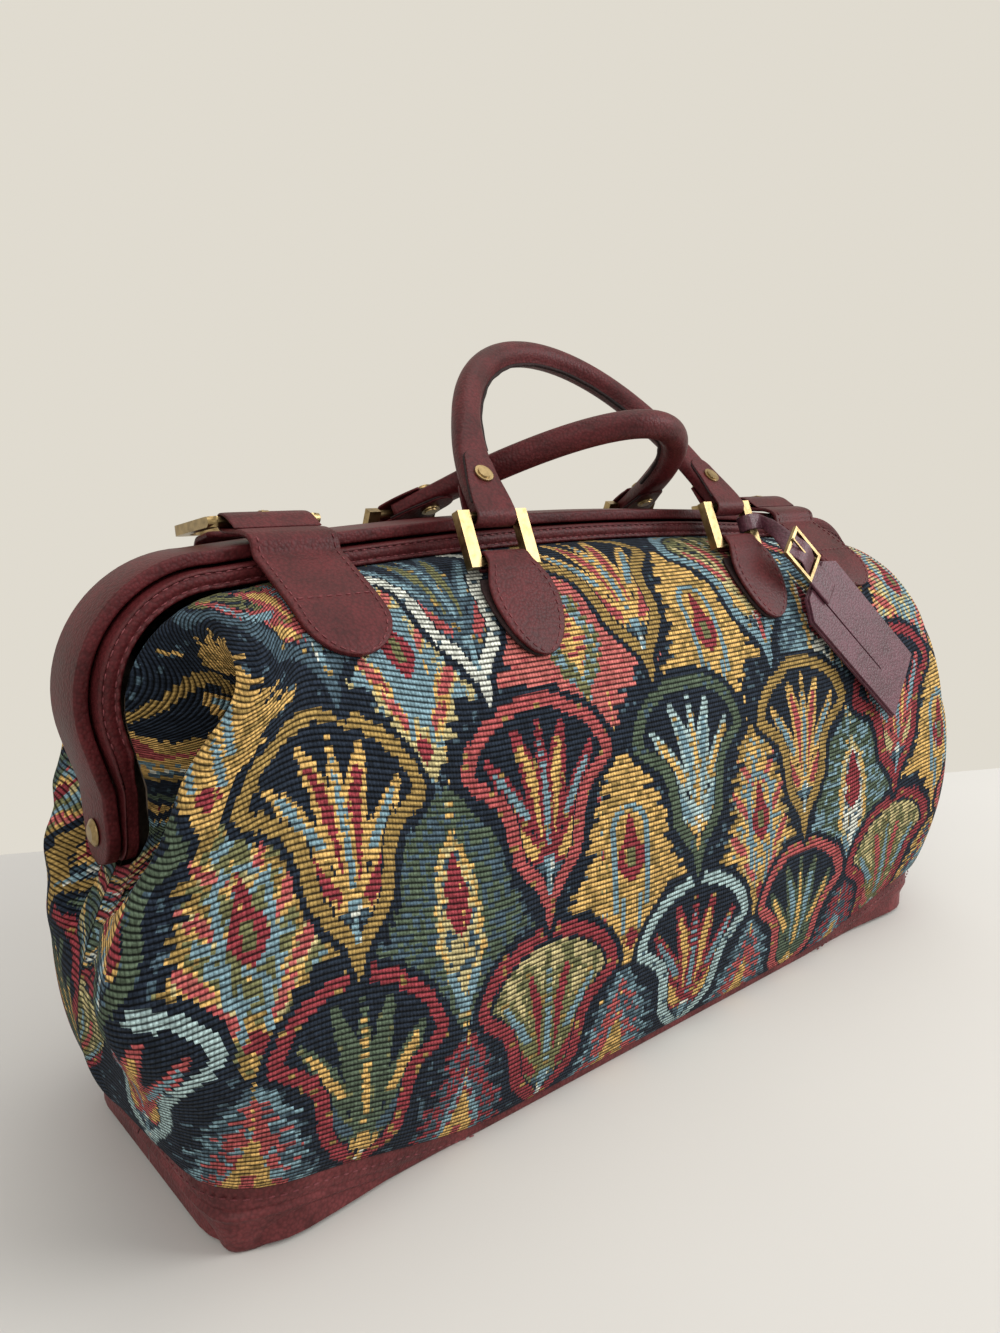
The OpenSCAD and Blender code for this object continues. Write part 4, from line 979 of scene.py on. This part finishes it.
def rear_tongue(name, x):
    """A rear tongue from its tip on the cloth up to its end in the buckle."""
    face = cloth_face(x, strap_tip_z, 0.94, 20, on_cloth + strap_t/2)
    far_y = heel_y + buckle_len*math.cos(buckle_drop)
    far_z = heel_z - buckle_len*math.sin(buckle_drop) - heel_r - seat - strap_t/2
    end = [(-far_y, far_z), (-(far_y - 0.35*buckle_len), far_z + 0.9*strap_t)]
    path, steps = even_path(list(face) + end, 110)
    return side_band(name, x, path, round_tip(steps, strap_w - 0.006), strap_t, -1)


for word, x in (("left", -strap_x), ("right", strap_x)):
    strap = closing_strap(word + "_closing_strap", x)
    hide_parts("front_" + word + "_strap")
    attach(strap, "front_frame")
    tongue = rear_tongue(word + "_rear_tongue", x)
    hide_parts("rear_" + word + "_tongue")
    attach(tongue, "rear_frame")

# The chapes: pointed tabs of two layers of leather, sewn to the cloth, whose necks loop round the lower
# bars of the handle rings.
ring_x, chape_w, chape_tip_z = 0.076, 0.034, 0.186
ring_low_y, ring_low_z, ring_top_y, ring_top_z = 0.0393343, 0.222359, 0.032, 0.240
ring_bar_r, ring_play, loop_t, backing_t, backing_rim = 0.002, 0.0008, 0.0018, 0.0016, 0.0022
chape_shape = [(0, 0.08), (0.015, 0.22), (0.04, 0.36), (0.08, 0.50), (0.14, 0.64), (0.22, 0.78), (0.32, 0.89),
               (0.43, 0.97), (0.54, 1.0), (0.66, 0.96), (0.78, 0.82), (0.88, 0.68), (1.0, 0.64)]


def chape(name, x, mirror, body):
    """A chape that loops round its ring's lower bar, and the wider backing under it."""
    loop_r = ring_bar_r + ring_play + loop_t/2
    under = cloth_face(-ring_x, chape_tip_z, 0.952, 24, on_cloth + backing_t/2)
    climb = np.linspace(0, 1, 24)[:, None]**4
    face = cloth_face(-ring_x, chape_tip_z, 0.952, 24, on_cloth + backing_t + loop_t/2)
    along_bar, off_bar = np.array([0.82, 0.57]), np.array([-0.57, 0.82])
    bar = np.array([-ring_low_y, ring_low_z])
    start = bar + loop_r*off_bar - 0.006*along_bar
    face = face + climb*(start - face[-1])*0.75
    turn = np.linspace(0.0, math.pi + 0.3, 16)
    loop = [bar + loop_r*(math.cos(a)*off_bar + math.sin(a)*along_bar) for a in turn]
    flat_run = share_along(np.vstack([face, start, bar]))[1]

    def width_at(run):
        return np.interp(run/flat_run, *zip(*chape_shape))*chape_w

    path, steps = even_path(list(face) + loop, 130)
    wide = width_at(steps)
    last = int(np.argmax(steps > 0.86*flat_run))
    rows = edge_rows(x, path, wide, loop_t, mirror, last, 0.0030)
    sewn_rows(name + "_stitches", rows, body, **small_stitch)
    low_path, low_steps = even_path(under, 90)
    backing = side_band(name + "_backing", x, low_path, width_at(low_steps) + backing_rim, backing_t, mirror)
    backing.data.materials.clear()
    backing.data.materials.append(raw_edge)
    return side_band(name, x, path, wide, loop_t, mirror), backing


for word, body, mirror in (("front", "front_frame", 1), ("rear", "rear_frame", -1)):
    for hand, x in (("left", -ring_x), ("right", ring_x)):
        tab, backing = chape(word + "_" + hand + "_ring_chape", x, mirror, body)
        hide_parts(word + "_" + hand + "_chape")
        for piece in (tab, backing):
            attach(piece, body)

# The handles: leather rolled round a cord, flattened at the ends where it wraps the rings' upper bars and
# folds back as a riveted flap. A raw seam runs along the inside of each roll.
handle_d, handle_tab_w, handle_tab_t = 0.0125, 0.0165, 0.0066
arches = {"front": [(-ring_x, -ring_top_y, ring_top_z), (-0.0608, 0.055, 0.347), (0.08968, 0.070, 0.334),
                    (ring_x, -ring_top_y, ring_top_z)],
          "rear": [(-ring_x, ring_top_y, ring_top_z), (-0.01976, -0.048, 0.288), (0.01368, -0.098, 0.292),
                   (ring_x, ring_top_y, ring_top_z)]}
beside = np.array([1.0, 0.0, 0.0])


def arch_at(arch, t):
    """Places along a handle's arch and the way it runs there."""
    p = np.array(arch)
    t = np.asarray(t, float)[..., None]
    place = p[0]*(1 - t)**3 + 3*p[1]*t*(1 - t)**2 + 3*p[2]*t*t*(1 - t) + p[3]*t**3
    return place, unit((p[1] - p[0])*(1 - t)**2 + 2*(p[2] - p[1])*t*(1 - t) + (p[3] - p[2])*t*t)


def arch_across(arch):
    """The way across the plane of a handle's arch."""
    p = np.array(arch)
    return unit(np.cross(p[3] - p[0], arch_at(arch, np.array(0.5))[0] - p[0]))


def rolled_handle(name, arch):
    """A handle that is round in the middle and flat at its ends, and the raw seam inside it."""
    t = np.linspace(0.0, 1.0, 170)
    mids, run = arch_at(arch, t)
    wides = unit(np.cross(arch_across(arch), run))
    flats = np.cross(run, wides)
    k = ease(0.03, 0.17, np.minimum(t, 1 - t))
    half_w = handle_tab_w/2 + (handle_d - handle_tab_w)/2*k
    half_t = handle_tab_t/2 + (handle_d - handle_tab_t)/2*k
    turn = np.linspace(0, 2*math.pi, 32, endpoint=False)
    power = (0.40 + 0.60*k)[:, None]
    across = blunt(np.cos(turn), power)*half_w[:, None]
    through = blunt(np.sin(turn), power)*half_t[:, None]
    middle = len(t)//2
    inside = 1 if np.dot(wides[middle], np.array(arch).mean(0) - mids[middle]) > 0 else -1
    seam = bell(turn - (0 if inside > 0 else math.pi), 0.16) + bell(turn - 2*math.pi, 0.16)*(inside > 0)
    across = across + inside*seam*0.0012*k[:, None]
    rings = mids[:, None] + wides[:, None]*across[..., None] + flats[:, None]*through[..., None]
    handle = swept_piece(name, rings)
    handle.data.materials.append(burgundy_leather)
    sewn = (t > 0.10) & (t < 0.90)
    ragged = 0.00013*np.sin(t*61.0) + 0.00010*np.sin(t*137.0 + 1.0)
    edge_mids = (mids + wides*(inside*(half_w + 0.0008 + ragged))[:, None])[sewn]
    edge_w, edge_t = np.full(sewn.sum(), 0.0017), np.full(sewn.sum(), 0.0020)
    edge = swept_piece(name + "_seam", band_rings(edge_mids, flats[sewn], edge_w, edge_t, 0.6, 10))
    edge.data.materials.append(raw_edge)
    return handle, edge


def end_wrap(name, arch, lift, grow, thick, last, cover):
    """The end of a handle's leather, wrapped round the ring's bar and laid flat on the handle as a flap."""
    look = arch_across(arch)
    look = look if look[1] < 0 else -look
    flap_t, back_t = np.linspace(0.082, 0.010, 26), np.linspace(0.010, 0.045, 12)
    heel = np.array(arch[0])
    away = np.cross(look, beside)
    away = away if np.dot(away, arch_at(arch, np.array(0.0))[1]) < 0 else -away
    turn = np.linspace(0.15, math.pi - 0.15, 14)[:, None]
    bend = heel + lift*(np.cos(turn)*look + np.sin(turn)*away)
    ts = np.concatenate([flap_t, np.zeros(14), back_t])
    mids = np.vstack([arch_at(arch, flap_t)[0] + lift*look, bend, arch_at(arch, back_t)[0] - lift*look])
    wides = np.cross(look, arch_at(arch, ts)[1])
    wides = wides*np.where(wides @ beside < 0, -1, 1)[:, None]
    free = ease(0.0, 0.05, ts)[:, None]
    wides = unit(beside*(1 - free) + wides*free)
    mids, wides, ts = mids[:last], wides[:last], ts[:last]
    share, length = share_along(mids)
    even = np.linspace(0, 1, 64)
    mids, wides = spaced(mids, share, even), spaced(wides, share, even)
    ts = np.interp(even, share, ts)
    widths = round_tip(even*length, 0.0132 + grow) + 0.0070*(1 - ease(0.0, 0.07, ts))
    wrap = swept_piece(name, band_rings(mids, wides, widths, np.full(64, thick)))
    wrap.data.materials.append(cover)
    return wrap


for word in ("front", "rear"):
    roll, seam = rolled_handle(word + "_rolled_handle", arches[word])
    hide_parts(word + "_handle")
    ends = [roll, seam]
    for hand, arch in (("left", arches[word]), ("right", arches[word][::-1])):
        place = word + "_" + hand + "_handle"
        ends.append(end_wrap(place + "_wrap", arch, 0.0040, 0.0, 0.0012, 52, burgundy_leather))
        ends.append(end_wrap(place + "_wrap_edge", arch, 0.0036, 0.0012, 0.0009, 26, raw_edge))
    for piece in ends:
        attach(piece, word + "_handle")

# The luggage tag: two layers of leather with cut corners and a slit pocket, hung from the right ring by a
# narrow strap that laps over its head and carries a small brass buckle.
tag_mid = np.array([0.137, -0.0720901, 0.172945])
tag_across, tag_up = np.array([0.731354, 0.210706, 0.648633]), np.array([-0.681998, 0.225955, 0.695574])
tag_face = np.array([0.0, -0.951077, 0.308954])
tag_w, tag_len, tag_t, tag_strap_w, tag_strap_t = 0.044, 0.086, 0.003, 0.014, 0.0018
plum_leather = pebbled_leather("plum_leather", (0.076, 0.022, 0.033), (0.138, 0.046, 0.066), 0.40, 0.32)
tag_frame = Matrix([[*column] for column in zip(tag_across, tag_up, tag_face, tag_mid)]).to_4x4()
tag_frame.col[3] = (*tag_mid, 1.0)


def leather_cut(name, outline, low, high, edge):
    """A flat cut of leather with softened edges, drawn on the tag's own plane."""
    cut = bmesh.new()
    face = cut.faces.new([cut.verts.new((x, y, low)) for x, y in outline])
    grown = bmesh.ops.extrude_face_region(cut, geom=[face])
    raised = [v for v in grown["geom"] if isinstance(v, bmesh.types.BMVert)]
    bmesh.ops.translate(cut, vec=(0, 0, high - low), verts=raised)
    bmesh.ops.recalc_face_normals(cut, faces=cut.faces)
    bmesh.ops.bevel(cut, geom=cut.edges[:], offset=edge, segments=2, profile=0.5, affect="EDGES", material=-1)
    bmesh.ops.transform(cut, matrix=tag_frame, verts=cut.verts)
    piece = finished(name, cut, False)
    piece.data.materials.append(plum_leather)
    return piece


half, top, corner = tag_w/2, tag_len/2, 0.2*tag_w
slit_end, margin, layer_t = -top + 0.0215, 0.0006, 0.0017
tag_back = leather_cut("tag_back", [(-half, -top), (half, -top), (half, top - corner), (half - corner, top),
                                    (corner - half, top), (-half, top - corner)], 0.0, layer_t, 0.0004)
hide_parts("tag_body")
pocket_line = [(-half + margin, -top + 0.001), (half - margin, -top + 0.001), (half - margin, top - corner),
               (half - corner, top - margin), (-0.0056, top - margin), (-0.0058, slit_end),
               (-0.0064, slit_end), (-0.0066, top - margin), (corner - half, top - margin),
               (-half + margin, top - corner)]
tag_pocket = leather_cut("tag_pocket", pocket_line, layer_t, tag_t, 0.0002)
for piece in (tag_back, tag_pocket):
    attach(piece, "tag")


def tag_at(a, b, c):
    """A place across, up and out from the middle of the tag."""
    return tag_mid + a*tag_across + b*tag_up + c*tag_face


ring_lean = math.atan2(ring_low_y - ring_top_y, ring_top_z - ring_low_z)
ring_up = np.array([0.0, math.sin(ring_lean), math.cos(ring_lean)])
ring_out = np.array([0.0, -math.cos(ring_lean), math.sin(ring_lean)])
tag_bar = np.array([0.091, -0.0356671, 0.231179])
ring_away = ring_bar_r + 0.0006 + tag_strap_t/2
tag_rise = tag_t + seat + tag_strap_t/2
neck_w, buckle_up = 0.008, 0.060
round_bar = [(0.009, -1.0), (-0.0034, -1.0), (-0.0048, -0.55), (-0.0048, 0.55), (-0.0034, 1.0), (0.0051, 1.0)]
tag_run = [(tag_bar + a*beside + b*ring_away*ring_out, neck_w*ring_up) for a, b in round_bar]
tag_run.append((0.6*(tag_bar + 0.0069*beside + 1.5*ring_away*ring_out) + 0.4*tag_at(0, 0.0688, tag_rise),
                0.5*neck_w*ring_up + 0.5*tag_strap_w*tag_across))
tag_run += [(tag_at(0, up, tag_rise), tag_strap_w*tag_across) for up in (0.0688, 0.050, 0.031)]
joined = np.array([np.concatenate(row) for row in tag_run])
tag_path = smoothed(spaced(joined, share_along(joined[:, :3])[0], np.linspace(0, 1, 110)), 5)
tag_wide = np.linalg.norm(tag_path[:, 3:], axis=1)
tag_rings = band_rings(tag_path[:, :3], unit(tag_path[:, 3:]), tag_wide, np.full(110, tag_strap_t))
tag_strap = swept_piece("tag_hanging_strap", tag_rings)
tag_strap.data.materials.append(plum_leather)
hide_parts("tag_strap")
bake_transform(tag_strap)
fold_run = [(-0.0088, 0.0055), (-0.0055, 0.0064), (-0.0022, 0.0078), (0.0, 0.0081), (0.0022, 0.0077),
            (0.0050, 0.0063), (0.0088, 0.0054)]
fold_mids = even_path([tag_at(0, buckle_up + b, c) for b, c in fold_run], 40)[0]
fold_rings = band_rings(fold_mids, np.tile(tag_across, (40, 1)), np.full(40, tag_strap_w - 0.0012),
                        np.full(40, 0.0009))
tag_fold = swept_piece("tag_strap_fold", fold_rings)
tag_fold.data.materials.append(plum_leather)
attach(tag_fold, "tag")

# The metal: brass rings, buckles, prongs and rivets, worn a little dull, and the steel bars and the board
# that are hidden inside the leather. They are the construction's own shapes with softened edges.
soft_edge, tag_soft_edge = 0.0005, 0.0004


def worn_metal(name, dark, light, roughness, metallic):
    metal, tree, shader = new_finish(name, {"Metallic": metallic})
    wear = grain(tree, 320.0, 8.0)
    tree.links.new(two_tones(tree, wear, dark, light, 0.25, 0.60), shader["Base Color"])
    gloss = rescaled(tree, wear, (0.0, 1.0), (roughness - 0.1, roughness + 0.15))
    tree.links.new(gloss, shader["Roughness"])
    return metal


worn_brass = worn_metal("worn_brass", (0.19, 0.130, 0.056), (0.39, 0.285, 0.140), 0.32, 1.0)
dull_steel = worn_metal("dull_steel", (0.25, 0.25, 0.26), (0.48, 0.48, 0.50), 0.45, 1.0)
brown_board = worn_metal("brown_board", (0.22, 0.16, 0.10), (0.36, 0.27, 0.18), 0.80, 0.0)
brass_nodes = ["left_hinge_rivet", "right_hinge_rivet", "left_buckle", "right_buckle", "left_buckle_prong",
               "right_buckle_prong", "front_left_ring", "front_right_ring", "rear_left_ring",
               "rear_right_ring", "front_handle_rivets", "rear_handle_rivets", "tag_buckle",
               "tag_buckle_prong"]
hidden_finishes = {"front_frame_bar": dull_steel, "rear_frame_bar": dull_steel, "base_board": brown_board}
for name in brass_nodes + list(hidden_finishes):
    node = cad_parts[name]
    node.data.materials.clear()
    node.data.materials.append(hidden_finishes.get(name, worn_brass))
    weld = node.modifiers.new("joined_corners", "WELD")
    weld.merge_threshold = 1e-5
    soft = node.modifiers.new("soft_edges", "BEVEL")
    soft.width = tag_soft_edge if name == "tag_buckle" else soft_edge
    soft.segments = 2
    soft.limit_method = "ANGLE"
    soft.angle_limit = math.radians(40)
